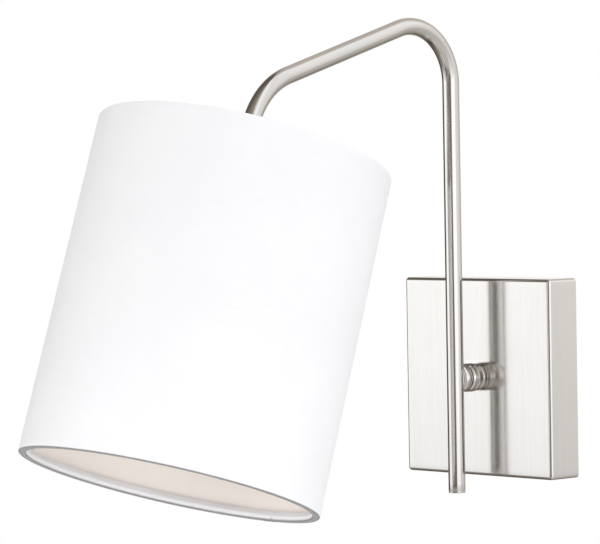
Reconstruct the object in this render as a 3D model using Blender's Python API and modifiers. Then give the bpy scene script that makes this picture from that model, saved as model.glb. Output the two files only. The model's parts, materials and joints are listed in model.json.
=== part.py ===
"""Wall sconce: a square back plate, a bent tube arm on a swivel, and a tilted drum shade.

Frame: the origin is the centre of the back plate's wall face. The wall is the plane Y = 0, the lamp
stands out from it towards -Y, +X is to the right of a person facing the wall, and +Z is up.
Lengths are in metres. Parts on the swivel are modelled along the local +Z of the empty swivel_axis,
which points out of the wall. Parts of the lamp holder and the shade are modelled along the local Z of
the empty shade_axis, whose zero is the shade's upper rim, with the shade below it.
"""
import math

import bmesh
import bpy
from mathutils import Matrix, Vector

MM = 0.001
GAP = 0.3 * MM
WELD = 0.01 * MM
PAST = 5.0 * MM

# Back plate: a square pan, open towards the wall
PLATE_SIZE = 120.0 * MM
PLATE_DEPTH = 24.0 * MM
PLATE_WALL = 2.0 * MM
PLATE_EDGE_RADIUS = 2.5 * MM
PLATE_HALF = PLATE_SIZE / 2.0
PLATE_INNER = PLATE_HALF - PLATE_WALL

# Arm tube, in the plane X = 0. Corners are where the straight runs would meet.
TUBE_RADIUS = 5.15 * MM
TUBE_WALL = 1.0 * MM
TUBE_STANDOFF = 19.0 * MM
LEG_BOTTOM = -69.0 * MM
LEG_TOP = 224.0 * MM
BOOM_LENGTH = 165.6 * MM
BOOM_SLOPE = math.radians(17.2)
UPPER_BEND = 34.0 * MM
LOWER_BEND = 46.0 * MM
DROP_TO_RIM = 36.0 * MM
TUBE_INSIDE_SHADE = 22.0 * MM
PLUG_LENGTH = 1.4 * MM
PLUG_TONGUE = 8.0 * MM
PLUG_EDGE = 1.0 * MM

# Shade: a drum that widens a little towards its lower rim
SHADE_TILT = math.radians(18.5)
SHADE_HEIGHT = 198.0 * MM
SHADE_RADIUS_TOP = 85.0 * MM
SHADE_RADIUS_BOTTOM = 86.0 * MM
FABRIC = 0.8 * MM
LINER = 0.6 * MM
RING_WIRE = 1.3 * MM
RIM_EDGE = 0.5 * MM
LOWER_HEM = 4.5 * MM
UPPER_HEM = 1.9 * MM

# Swivel, as distances in front of the plate
KNUCKLE_RADIUS = 8.7 * MM
BASE_FLANGE = 2.6 * MM
BASE_FLANGE_RADIUS = 8.3 * MM
BASE_NECK_RADIUS = 6.6 * MM
RING_FRONT = 10.9 * MM
HEAD_BACK = 11.3 * MM
HEAD_FRONT = 17.8 * MM
HEAD_BULGE = 2.2 * MM
NIPPLE_RADIUS = 4.8 * MM
NIPPLE_BORE = 3.2 * MM
BORE_CLEARANCE = 0.3 * MM

# Swivel parts behind the plate's front wall
STOP_RADIUS = 10.6 * MM
STOP_PIN_RADIUS = 1.5 * MM
STOP_PIN_LENGTH = 3.0 * MM
STOP_TRAVEL = math.radians(90.0)
STOP_CLEARANCE = math.radians(1.5)
STOP_TAB_RADIUS = 12.6 * MM
STOP_WAIST_RADIUS = 8.4 * MM
WASHER_THICKNESS = 1.2 * MM
SPRING_RADIUS = 7.4 * MM
SPRING_SPLIT = 8.0
NUT_RADIUS = 8.1 * MM
NUT_HEIGHT = 4.0 * MM

# Mounting bar, its screws and the clip that hooks over it
BAR_WIDTH = 22.0 * MM
BAR_THICKNESS = 1.8 * MM
BAR_BEND = 1.6 * MM
BAR_CENTRE_HOLE = 8.5 * MM
BAR_SLOT_LENGTH = 9.0 * MM
BAR_SLOT_HALF_WIDTH = 2.6 * MM
BAR_TAB_HOLE = 1.9 * MM
BAR_TAB_SCREW_Y = -8.0 * MM
BAR_LOWER_END = 0.5 * MM - PLATE_INNER
BAR_UPPER_END = PLATE_HALF - 8.0 * MM
BAR_LIP_Y = -14.0 * MM
BAR_LIP_TOP = PLATE_HALF - 4.0 * MM
BOX_SCREW_SPACING = 88.9 * MM
BOX_SCREW_RADIUS = 1.9 * MM
GROUND_SCREW = Vector((0.0, 0.0, -20.0 * MM))
GROUND_SCREW_RADIUS = 1.6 * MM
PLATE_SCREW_RADIUS = 1.35 * MM
PLATE_SCREW_HEAD = 2.75 * MM
PLATE_SINK_DEPTH = 1.7 * MM
CLIP_SHEET = 1.2 * MM
CLIP_HALF_WIDTH = 6.0 * MM

# Lamp holder and fitter, as heights below the shade's upper rim
HOLDER_HUB_RADIUS = 8.2 * MM
HOLDER_FLOOR_TOP = -36.3 * MM
HOLDER_FLOOR = -41.3 * MM
HOLDER_SHOULDER = -43.0 * MM
HOLDER_THREAD_END = -62.0 * MM
HOLDER_MOUTH = -80.0 * MM
HOLDER_THREAD_RADIUS = 19.0 * MM
HOLDER_INNER_RADIUS = 15.4 * MM
SHELL_RADIUS = 14.6 * MM
SHELL_TOP = -47.5 * MM
SHELL_WALL = 0.6 * MM
CONTACT_FACE = -45.0 * MM
TUBE_NUT_RADIUS = 7.6 * MM
TUBE_NUT_HEIGHT = 2.4 * MM
TUBE_NUT_BOTTOM = -21.2 * MM
FITTER_TOP = -43.3 * MM
FITTER_THICKNESS = 2.0 * MM
FITTER_RADIUS = 27.0 * MM
FITTER_HOLE = 19.5 * MM
RING_TOP = FITTER_TOP - FITTER_THICKNESS - GAP
RING_BOTTOM = RING_TOP - 9.0 * MM
SPOKE_RADIUS = 1.4 * MM
SPOKES = 3

# Bulb
BULB_RADIUS = 30.0 * MM
BULB_TIP = -157.0 * MM
BULB_NECK = -76.5 * MM
BULB_WALL = 1.0 * MM
SHOULDER_ANGLE = 40.0
CAP_RADIUS = 13.0 * MM
CAP_WALL = 0.5 * MM
CAP_TOP = -50.6 * MM

# Wires inside the arm
LEAD_RADIUS = 1.1 * MM
LEAD_SPREAD = 1.4 * MM
LEAD_TURN = 5.0 * MM

TUBE_Y = -(PLATE_DEPTH + TUBE_STANDOFF)
FACE_OUT = math.radians(90.0)
BEND_STEPS = 8
ROUND = 24
SMALL_ROUND = 16
SHADE_ROUND = 40

for old in list(bpy.data.objects):
    bpy.data.objects.remove(old, do_unlink=True)

parts = bpy.data.collections.new("wall_sconce")
cutters = bpy.data.collections.new("cutters")
bpy.context.scene.collection.children.link(parts)
bpy.context.scene.collection.children.link(cutters)


def make_material(name, colour, roughness, metallic):
    material = bpy.data.materials.new(name)
    material.use_nodes = True
    shader = material.node_tree.nodes["Principled BSDF"]
    shader.inputs["Base Color"].default_value = (*colour, 1.0)
    shader.inputs["Roughness"].default_value = roughness
    shader.inputs["Metallic"].default_value = metallic
    return material


NICKEL = ("brushed_nickel", (0.70, 0.68, 0.65), 0.30, 1.0)
ZINC = ("zinc_plated_steel", (0.62, 0.64, 0.66), 0.35, 1.0)
BRASS = ("brass", (0.80, 0.62, 0.30), 0.30, 1.0)
PHENOLIC = ("black_phenolic", (0.03, 0.03, 0.03), 0.45, 0.0)
NYLON = ("white_nylon", (0.85, 0.85, 0.82), 0.50, 0.0)
SHADE_WHITE = ("white_shade_fabric", (0.93, 0.93, 0.95), 0.90, 0.0)
LINER_WHITE = ("off_white_liner", (0.88, 0.84, 0.81), 0.70, 0.0)
FROSTED = ("frosted_glass", (0.95, 0.95, 0.93), 0.40, 0.0)
GREEN = ("green_paint", (0.05, 0.35, 0.12), 0.45, 0.0)
BLACK_PVC = ("black_insulation", (0.02, 0.02, 0.02), 0.50, 0.0)
WHITE_PVC = ("white_insulation", (0.90, 0.90, 0.88), 0.50, 0.0)


def finish_object(obj, name, parent, look, collection=None):
    """Names an object, puts it in its collection, and gives it a parent empty and its own material."""
    obj.name = name
    (collection or parts).objects.link(obj)
    obj.parent = parent
    if look is not None:
        obj.data.materials.append(make_material(f"{name}_{look[0]}", *look[1:]))
    return obj


def make_empty(name, location, rotation_x=0.0):
    empty = bpy.data.objects.new(name, None)
    empty.location = location
    empty.rotation_euler = (rotation_x, 0.0, 0.0)
    parts.objects.link(empty)
    return empty


def object_from_bmesh(bm, name, parent, look, smooth_angle=None, collection=None):
    mesh = bpy.data.meshes.new(name)
    bm.to_mesh(mesh)
    bm.free()
    if smooth_angle is not None:
        mesh.shade_smooth()
        mesh.set_sharp_from_angle(angle=smooth_angle)
    return finish_object(bpy.data.objects.new(name, mesh), name, parent, look, collection)


def turned(name, parent, profile, look, closed=True, steps=ROUND, collection=None):
    """A turned solid. The profile is (radius, height) points that run down the outer side.

    A closed profile makes a hollow part. An open one starts and ends on the axis."""
    mesh = bpy.data.meshes.new(name)
    points = [(radius, 0.0, height) for radius, height in profile]
    edges = [(i, i + 1) for i in range(len(points) - 1)]
    if closed:
        edges.append((len(points) - 1, 0))
    mesh.from_pydata(points, edges, [])
    obj = finish_object(bpy.data.objects.new(name, mesh), name, parent, look, collection)
    screw = obj.modifiers.new("turn", "SCREW")
    screw.axis = "Z"
    screw.angle = 2.0 * math.pi
    screw.steps = steps
    screw.render_steps = steps
    screw.use_merge_vertices = True
    screw.merge_threshold = WELD
    screw.use_smooth_shade = True
    return obj


def arc(centre, radius, start, end, steps):
    """Points on an arc, as (first, second) coordinates, with angles in degrees."""
    points = []
    for i in range(steps + 1):
        angle = math.radians(start + (end - start) * i / steps)
        points.append((centre[0] + radius * math.cos(angle), centre[1] + radius * math.sin(angle)))
    return points


def bezier(a, b, c, d, steps):
    points = []
    for i in range(steps + 1):
        t = i / steps
        u = 1.0 - t
        points.append(tuple(
            u ** 3 * a[k] + 3 * u * u * t * b[k] + 3 * u * t * t * c[k] + t ** 3 * d[k] for k in (0, 1)))
    return points


def plate_outline(name, parent, outlines, thickness, bottom, look, collection=None):
    """A flat part cut from sheet: closed outlines in the local XY plane, from bottom upwards."""
    curve = bpy.data.curves.new(name, "CURVE")
    curve.dimensions = "2D"
    curve.fill_mode = "BOTH"
    curve.extrude = thickness / 2.0
    for outline in outlines:
        spline = curve.splines.new("POLY")
        spline.points.add(len(outline) - 1)
        for point, (x, y) in zip(spline.points, outline):
            point.co = (x, y, 0.0, 1.0)
        spline.use_cyclic_u = True
    obj = finish_object(bpy.data.objects.new(name, curve), name, parent, look, collection)
    obj.location = (0.0, 0.0, bottom + thickness / 2.0)
    return obj


def circle(radius, steps=ROUND):
    return arc((0.0, 0.0), radius, 0.0, 360.0 - 360.0 / steps, steps - 1)


def hexagon(radius):
    return circle(radius, 6)


def slot_points(half_width, length):
    """A slot's outline along the local Y axis."""
    reach = length / 2.0 - half_width
    return arc((0.0, reach), half_width, 0.0, 180.0, 8) + arc((0.0, -reach), half_width, 180.0, 360.0, 8)


def wire(name, parent, points, radius, look, resolution=2, closed=False, capped=True):
    """A round wire or tube along points."""
    curve = bpy.data.curves.new(name, "CURVE")
    curve.dimensions = "3D"
    curve.bevel_depth = radius
    curve.bevel_resolution = resolution
    curve.use_fill_caps = capped and not closed
    spline = curve.splines.new("POLY")
    spline.points.add(len(points) - 1)
    for point, place in zip(spline.points, points):
        point.co = (*place, 1.0)
    spline.use_cyclic_u = closed
    spline.use_smooth = True
    return finish_object(bpy.data.objects.new(name, curve), name, parent, look)


def welded_mesh(obj):
    """The mesh that a curve object makes, with its seams welded. The curve object is removed."""
    bpy.context.view_layer.update()
    mesh = bpy.data.meshes.new_from_object(obj.evaluated_get(bpy.context.evaluated_depsgraph_get()))
    bm = bmesh.new()
    bm.from_mesh(mesh)
    bmesh.ops.remove_doubles(bm, verts=bm.verts, dist=WELD)
    bmesh.ops.recalc_face_normals(bm, faces=bm.faces)
    bm.to_mesh(mesh)
    bm.free()
    mesh.materials.clear()
    bpy.data.objects.remove(obj, do_unlink=True)
    return mesh


def hide_cutter(cutter):
    cutter.hide_render = True
    cutter.display_type = "WIRE"
    return cutter


def cylinder_cutter(name, parent, radius, bottom, top, steps=SMALL_ROUND, matrix=None):
    return cone_cutter(name, parent, radius, radius, bottom, top, steps, matrix)


def cone_cutter(name, parent, bottom_radius, top_radius, bottom, top, steps=SMALL_ROUND, matrix=None):
    bm = bmesh.new()
    bmesh.ops.create_cone(bm, cap_ends=True, segments=steps, radius1=bottom_radius, radius2=top_radius,
                          depth=top - bottom)
    bmesh.ops.translate(bm, verts=bm.verts, vec=(0.0, 0.0, (top + bottom) / 2.0))
    if matrix is not None:
        bmesh.ops.transform(bm, matrix=matrix, verts=bm.verts)
    return hide_cutter(object_from_bmesh(bm, name, parent, None, collection=cutters))


def box_cutter(name, parent, low, high):
    bm = bmesh.new()
    bmesh.ops.create_cube(bm, size=1.0)
    bmesh.ops.scale(bm, vec=Vector(high) - Vector(low), verts=bm.verts)
    bmesh.ops.translate(bm, vec=(Vector(high) + Vector(low)) / 2.0, verts=bm.verts)
    return hide_cutter(object_from_bmesh(bm, name, parent, None, collection=cutters))


def cut(obj, cutter):
    modifier = obj.modifiers.new(f"cut_{cutter.name}", "BOOLEAN")
    modifier.operation = "DIFFERENCE"
    modifier.object = cutter
    return modifier


def rounded_path(corners, radii, steps):
    """A path of straight runs with an arc of each given radius at each inner corner."""
    path = [corners[0]]
    for before, corner, after, radius in zip(corners, corners[1:], corners[2:], radii):
        inwards = (corner - before).normalized()
        outwards = (after - corner).normalized()
        turn = inwards.angle(outwards)
        reach = radius * math.tan(turn / 2.0)
        middle = corner + (outwards - inwards).normalized() * (radius / math.cos(turn / 2.0))
        arm = corner - inwards * reach - middle
        spin = inwards.cross(outwards).normalized()
        for i in range(steps + 1):
            path.append(middle + Matrix.Rotation(turn * i / steps, 3, spin) @ arm)
    path.append(corners[-1])
    return path


def bent_strip(name, outline, bends, half_width, sheet, look):
    """A strip of sheet that follows an outline of (y, z) points, and is as wide as the X axis says."""
    path = rounded_path([Vector((0.0, y, z)) for y, z in outline], bends, 3)
    bm = bmesh.new()
    sides = []
    for x in (-half_width, half_width):
        sides.append([bm.verts.new(point + Vector((x, 0.0, 0.0))) for point in path])
    for i in range(len(path) - 1):
        bm.faces.new((sides[0][i], sides[0][i + 1], sides[1][i + 1], sides[1][i]))
    strip = object_from_bmesh(bm, name, None, look)
    shell = strip.modifiers.new("sheet", "SOLIDIFY")
    shell.thickness = sheet
    shell.offset = 0.0
    shell.use_even_offset = True
    return strip


def slotted_screw(name, parent, place, head_radius, head_height, shank_radius, length, look):
    """A pan-head screw whose head is up the local Z axis, with its seat at height 0."""
    crown = 0.4 * head_height
    profile = [(0.0, head_height)]
    profile += arc((head_radius - crown, head_height - crown), crown, 90.0, 0.0, 3)
    profile += [(head_radius, 0.0), (shank_radius, 0.0), (shank_radius, -length), (0.0, -length)]
    screw = turned(name, parent, profile, look, closed=False, steps=SMALL_ROUND)
    screw.location = place
    slot = 0.35 * shank_radius
    reach = 2.0 * head_radius
    cut(screw, box_cutter(f"{name}_slot", screw, (-reach, -slot, 0.5 * head_height),
                          (reach, slot, head_height + PAST)))
    return screw


swivel_axis = make_empty("swivel_axis", (0.0, -PLATE_DEPTH, 0.0), FACE_OUT)
leg_foot = Vector((0.0, TUBE_Y, LEG_BOTTOM + PLUG_LENGTH))
leg_corner = Vector((0.0, TUBE_Y, LEG_TOP))
boom = Vector((0.0, -math.cos(BOOM_SLOPE), -math.sin(BOOM_SLOPE)))
shade_down = Vector((0.0, -math.sin(SHADE_TILT), -math.cos(SHADE_TILT)))
boom_corner = leg_corner + boom * BOOM_LENGTH
rim_centre = boom_corner + shade_down * DROP_TO_RIM
tube_end = rim_centre + shade_down * TUBE_INSIDE_SHADE
shade_axis = make_empty("shade_axis", rim_centre, -SHADE_TILT)


# ---------------------------------------------------------------- back plate and its mounting bar
def make_back_plate():
    bm = bmesh.new()
    bmesh.ops.create_cube(bm, size=1.0)
    bmesh.ops.scale(bm, vec=(PLATE_SIZE, PLATE_DEPTH, PLATE_SIZE), verts=bm.verts)
    bmesh.ops.translate(bm, vec=(0.0, -PLATE_DEPTH / 2.0, 0.0), verts=bm.verts)
    rounded = [edge for edge in bm.edges if any(vert.co.y < -PLATE_DEPTH / 2.0 for vert in edge.verts)]
    bmesh.ops.bevel(bm, geom=rounded, offset=PLATE_EDGE_RADIUS, segments=3, profile=0.5, affect="EDGES")
    plate = object_from_bmesh(bm, "back_plate", None, NICKEL, smooth_angle=math.radians(40.0))
    cut(plate, box_cutter("plate_cavity", None, (-PLATE_INNER, PLATE_WALL - PLATE_DEPTH, -PLATE_INNER),
                          (PLATE_INNER, PAST, PLATE_INNER)))
    cut(plate, cylinder_cutter("plate_centre_hole", swivel_axis, NIPPLE_RADIUS + BORE_CLEARANCE,
                               -PAST, PAST))
    hole_radius = PLATE_SCREW_RADIUS + 0.45 * MM
    hole = cylinder_cutter("plate_screw_hole", None, hole_radius, -PLATE_HALF - PAST, PAST - PLATE_HALF)
    below = 0.4 * MM
    sink = cone_cutter("plate_countersink", None, PLATE_SCREW_HEAD + below + 0.45 * MM, 1.5 * MM,
                       -PLATE_HALF - below, PLATE_SINK_DEPTH - PLATE_HALF)
    for cutter in (hole, sink):
        cutter.location = (0.0, BAR_TAB_SCREW_Y, 0.0)
        cut(plate, cutter)


def make_mounting_bar():
    """A strap bent from sheet: a lower tab for the plate's screw, and an upper tab with a raised lip."""
    middle = BAR_THICKNESS / 2.0
    outline = [
        (BAR_LIP_Y + middle, BAR_LIP_TOP),
        (BAR_LIP_Y + middle, BAR_UPPER_END - middle),
        (-middle, BAR_UPPER_END - middle),
        (-middle, BAR_LOWER_END + middle),
        (BAR_LIP_Y, BAR_LOWER_END + middle),
    ]
    bar = bent_strip("mounting_bar", outline, [BAR_BEND] * 3, BAR_WIDTH / 2.0, BAR_THICKNESS, ZINC)
    to_front = Matrix.Rotation(FACE_OUT, 4, "X")
    cut(bar, cylinder_cutter("bar_centre_hole", None, BAR_CENTRE_HOLE, -PAST, PAST, ROUND, to_front))
    at_ground = Matrix.Translation(GROUND_SCREW) @ to_front
    ground_hole = GROUND_SCREW_RADIUS + BORE_CLEARANCE
    cut(bar, cylinder_cutter("bar_ground_hole", None, ground_hole, -PAST, PAST, SMALL_ROUND, at_ground))
    for name, side in (("upper", 1.0), ("lower", -1.0)):
        points = slot_points(BAR_SLOT_HALF_WIDTH, BAR_SLOT_LENGTH)
        outline = plate_outline("slot_outline", None, [points], 2.0 * PAST, -PAST, None, collection=cutters)
        slot = bpy.data.objects.new("slot", welded_mesh(outline))
        hide_cutter(finish_object(slot, f"bar_{name}_slot", None, None, collection=cutters))
        slot.rotation_euler = (FACE_OUT, 0.0, 0.0)
        slot.location = (0.0, 0.0, side * BOX_SCREW_SPACING / 2.0)
        cut(bar, slot)
    tab_hole = cylinder_cutter("bar_tab_hole", None, BAR_TAB_HOLE, BAR_LOWER_END - PAST,
                               BAR_LOWER_END + PAST)
    tab_hole.location = (0.0, BAR_TAB_SCREW_Y, 0.0)
    cut(bar, tab_hole)


def make_plate_fasteners():
    seat = -BAR_THICKNESS - GAP
    for name, side in (("upper", 1.0), ("lower", -1.0)):
        place = (0.0, seat, side * BOX_SCREW_SPACING / 2.0)
        screw = slotted_screw(f"box_screw_{name}", None, place, 3.6 * MM, 2.2 * MM, BOX_SCREW_RADIUS,
                              -seat, ZINC)
        screw.rotation_euler = (FACE_OUT, 0.0, 0.0)
    wire_room = 2.0 * (LEAD_RADIUS + GAP)
    place = GROUND_SCREW + Vector((0.0, seat - wire_room, 0.0))
    screw = slotted_screw("ground_screw", None, place, 3.8 * MM, 2.4 * MM, GROUND_SCREW_RADIUS,
                          wire_room - seat, GREEN)
    screw.rotation_euler = (FACE_OUT, 0.0, 0.0)
    recess = 0.15 * MM
    shank_end = 10.0 * MM
    shank_start = 1.5 * MM
    plate_screw = turned("plate_screw", None, [
        (0.0, shank_end), (PLATE_SCREW_RADIUS, shank_end), (PLATE_SCREW_RADIUS, shank_start),
        (PLATE_SCREW_HEAD, recess), (0.0, recess),
    ], NICKEL, closed=False, steps=SMALL_ROUND)
    plate_screw.location = (0.0, BAR_TAB_SCREW_Y, -PLATE_HALF)
    slot = 0.4 * MM
    cut(plate_screw, box_cutter("plate_screw_slot", plate_screw, (-PAST, -slot, -PAST),
                                (PAST, slot, recess + 0.65 * MM)))


def make_ground_lead():
    """A bare loop under the ground screw's head, and a tail through the bar's centre hole."""
    loop_radius = GROUND_SCREW_RADIUS + GAP + LEAD_RADIUS
    front = -BAR_THICKNESS - GAP - LEAD_RADIUS
    bend = -6.0 * MM
    loop = [(x, front, GROUND_SCREW.z + z) for x, z in arc((0.0, 0.0), loop_radius, 200.0, -10.0, 9)]
    tail = [(front, GROUND_SCREW.z + 4.0 * MM), (front, -15.0 * MM), (front, -10.0 * MM)]
    tail += [(front + 0.6 * MM, bend - 0.9 * MM), (-LEAD_RADIUS, bend), (-0.1 * MM, bend)]
    points = loop + [(loop_radius, y, z) for y, z in tail]
    wire("ground_lead", None, points, LEAD_RADIUS, GREEN)


def make_hook_clip():
    """A bent tongue inside the plate's top wall, which catches behind the bar's lip."""
    top = PLATE_INNER - GAP - CLIP_SHEET / 2.0
    tongue = BAR_LIP_Y + BAR_THICKNESS + 0.6 * MM + CLIP_SHEET / 2.0
    outline = [(-20.0 * MM, top), (tongue, top), (tongue, BAR_UPPER_END + 0.8 * MM)]
    bent_strip("hook_clip", outline, [1.0 * MM], CLIP_HALF_WIDTH, CLIP_SHEET, ZINC)


# ---------------------------------------------------------------- swivel
def make_swivel_front():
    bore = NIPPLE_RADIUS + BORE_CLEARANCE
    neck = BASE_NECK_RADIUS
    flange = BASE_FLANGE_RADIUS
    chamfer = 0.4 * MM
    turned("swivel_base", swivel_axis, [
        (bore, RING_FRONT - GAP), (neck, RING_FRONT - GAP), (neck, BASE_FLANGE),
        (flange - chamfer, BASE_FLANGE), (flange, BASE_FLANGE - chamfer), (flange, GAP), (bore, GAP),
    ], NICKEL)
    back = BASE_FLANGE + GAP
    middle = (back + RING_FRONT) / 2.0
    crest = KNUCKLE_RADIUS
    groove = 0.6 * MM
    turned("lock_ring", swivel_axis, [
        (neck + GAP, RING_FRONT), (crest - 1.3 * MM, RING_FRONT), (crest - 0.4 * MM, RING_FRONT - 0.5 * MM),
        (crest, RING_FRONT - 1.5 * MM), (crest, middle + groove), (crest - groove, middle),
        (crest, middle - groove), (crest, back + 1.2 * MM), (crest - 0.8 * MM, back), (neck + GAP, back),
    ], NICKEL)
    middle = (HEAD_BACK + HEAD_FRONT) / 2.0
    half = (HEAD_FRONT - HEAD_BACK) / 2.0
    bead = []
    for x, z in arc((0.0, 0.0), 1.0, 90.0, -90.0, 8):
        bead.append((KNUCKLE_RADIUS - HEAD_BULGE + HEAD_BULGE * x, middle + half * z))
    head = turned("swivel_head", swivel_axis, [(bore, HEAD_FRONT)] + bead + [(bore, HEAD_BACK)], NICKEL)
    across = Matrix.Translation((0.0, 0.0, TUBE_STANDOFF)) @ Matrix.Rotation(FACE_OUT, 4, "X")
    reach = 4.0 * PAST
    cut(head, cylinder_cutter("saddle", swivel_axis, TUBE_RADIUS + GAP, -reach, reach, ROUND, across))


def make_swivel_back():
    bore = NIPPLE_RADIUS + BORE_CLEARANCE
    stop_top = -PLATE_WALL - GAP
    spring_top = stop_top - WASHER_THICKNESS - GAP
    nut_top = spring_top - WASHER_THICKNESS - GAP
    pin_half = math.asin(STOP_PIN_RADIUS / STOP_RADIUS)
    tab_half = math.degrees(math.pi - pin_half - STOP_TRAVEL - STOP_CLEARANCE)
    tab = arc((0.0, 0.0), STOP_TAB_RADIUS, 90.0 - tab_half, 90.0 + tab_half, 14)
    waist = arc((0.0, 0.0), STOP_WAIST_RADIUS, 90.0 + tab_half, 450.0 - tab_half, 16)
    plate_outline("stop_washer", swivel_axis, [tab + waist, circle(bore)], WASHER_THICKNESS,
                  stop_top - WASHER_THICKNESS, ZINC)
    pin_end = stop_top - STOP_PIN_LENGTH
    pin = turned("stop_pin", swivel_axis, [
        (0.0, stop_top), (STOP_PIN_RADIUS, stop_top), (STOP_PIN_RADIUS, pin_end), (0.0, pin_end),
    ], ZINC, closed=False, steps=SMALL_ROUND)
    pin.location = (0.0, -STOP_RADIUS, 0.0)
    split = arc((0.0, 0.0), SPRING_RADIUS, SPRING_SPLIT, 360.0 - SPRING_SPLIT, 22)
    split += arc((0.0, 0.0), bore, 360.0 - SPRING_SPLIT, SPRING_SPLIT, 22)
    plate_outline("spring_washer", swivel_axis, [split], WASHER_THICKNESS, spring_top - WASHER_THICKNESS,
                  ZINC)
    nut_bottom = nut_top - NUT_HEIGHT
    plate_outline("nipple_nut", swivel_axis, [hexagon(NUT_RADIUS), circle(bore)], NUT_HEIGHT, nut_bottom,
                  BRASS)
    front = TUBE_STANDOFF - TUBE_RADIUS - 2.0 * GAP
    back = nut_bottom - 2.5 * MM
    chamfer = 0.3 * MM
    turned("nipple", swivel_axis, [
        (NIPPLE_BORE, front), (NIPPLE_RADIUS - chamfer, front), (NIPPLE_RADIUS, front - chamfer),
        (NIPPLE_RADIUS, back + chamfer), (NIPPLE_RADIUS - chamfer, back), (NIPPLE_BORE, back),
    ], ZINC)


# ---------------------------------------------------------------- arm
def make_arm():
    path = rounded_path([leg_foot, leg_corner, boom_corner, tube_end], [UPPER_BEND, LOWER_BEND], BEND_STEPS)
    run = wire("tube_run", None, path, TUBE_RADIUS, None, resolution=6, capped=False)
    tube = bpy.data.objects.new("arm_tube", welded_mesh(run))
    finish_object(tube, "arm_tube", None, NICKEL)
    wall = tube.modifiers.new("tube_wall", "SOLIDIFY")
    wall.thickness = TUBE_WALL
    wall.offset = -1.0
    wall.use_even_offset = True
    cut(tube, cylinder_cutter("tube_wire_hole", swivel_axis, NIPPLE_BORE + 0.1 * MM, PAST, TUBE_STANDOFF))
    bore = TUBE_RADIUS - TUBE_WALL - BORE_CLEARANCE
    profile = [(0.0, PLUG_TONGUE), (bore, PLUG_TONGUE), (bore, -GAP), (TUBE_RADIUS, -GAP)]
    profile += arc((TUBE_RADIUS - PLUG_EDGE, PLUG_EDGE - PLUG_LENGTH), PLUG_EDGE, 0.0, -90.0, 4)
    profile.append((0.0, -PLUG_LENGTH))
    turned("tube_end_plug", None, profile, NICKEL, closed=False).location = leg_foot
    end = -TUBE_INSIDE_SHADE
    tongue = end + 7.0 * MM
    lip = end - 1.2 * MM
    wire_hole = 3.1 * MM
    turned("tube_bushing", shade_axis, [
        (wire_hole, tongue), (bore, tongue), (bore, end - GAP), (TUBE_RADIUS, end - GAP),
        (TUBE_RADIUS, lip), (wire_hole, lip),
    ], NYLON, steps=SMALL_ROUND)


def make_leads():
    """Two insulated wires, side by side, from the wall box through the swivel and the arm to the holder."""
    entry = [(y * MM, 0.0) for y in (-0.8, -8.0, -16.0, -25.0, -33.0)]
    entry += arc((TUBE_Y + LEAD_TURN, LEAD_TURN), LEAD_TURN, -90.0, -180.0, 6)
    tail = [(-26.0, 0.0), (-28.5, 1.6), (-31.0, 4.2), (-33.2, 7.0)]
    corners = [Vector((0.0, TUBE_Y, 12.0 * MM)), leg_corner, boom_corner, tube_end]
    middle = rounded_path(corners, [UPPER_BEND, LOWER_BEND], BEND_STEPS)
    place = Matrix.Translation(rim_centre) @ Matrix.Rotation(-SHADE_TILT, 4, "X")
    for name, side, look in (("lead_line", -1.0, BLACK_PVC), ("lead_neutral", 1.0, WHITE_PVC)):
        offset = Vector((side * LEAD_SPREAD, 0.0, 0.0))
        points = [Vector((0.0, y, z)) + offset for y, z in entry]
        points += [point + offset for point in middle]
        for height, reach in tail:
            points.append(place @ Vector((side * (LEAD_SPREAD + reach * MM), 0.0, height * MM)))
        wire(name, None, points, LEAD_RADIUS, look)


# ---------------------------------------------------------------- lamp holder
def make_holder_cap():
    bore = TUBE_RADIUS + BORE_CLEARANCE
    hub = HOLDER_HUB_RADIUS
    skirt = HOLDER_THREAD_RADIUS + 1.2 * MM
    sheet = 1.2 * MM
    end = HOLDER_FLOOR_TOP + GAP
    turned("holder_cap", shade_axis, [
        (bore, -9.0 * MM), (hub - 0.6 * MM, -9.0 * MM), (hub, -9.6 * MM), (hub, -15.0 * MM),
        (11.0 * MM, -17.6 * MM), (16.5 * MM, -20.0 * MM), (skirt - 0.8 * MM, -22.8 * MM),
        (skirt, -25.5 * MM), (skirt, end), (skirt - sheet, end), (skirt - sheet, -25.8 * MM),
        (16.0 * MM, -21.6 * MM), (10.5 * MM, -19.2 * MM), (bore, -17.6 * MM),
    ], PHENOLIC)
    plate_outline("tube_nut", shade_axis, [hexagon(TUBE_NUT_RADIUS), circle(bore)], TUBE_NUT_HEIGHT,
                  TUBE_NUT_BOTTOM, BRASS)


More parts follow.
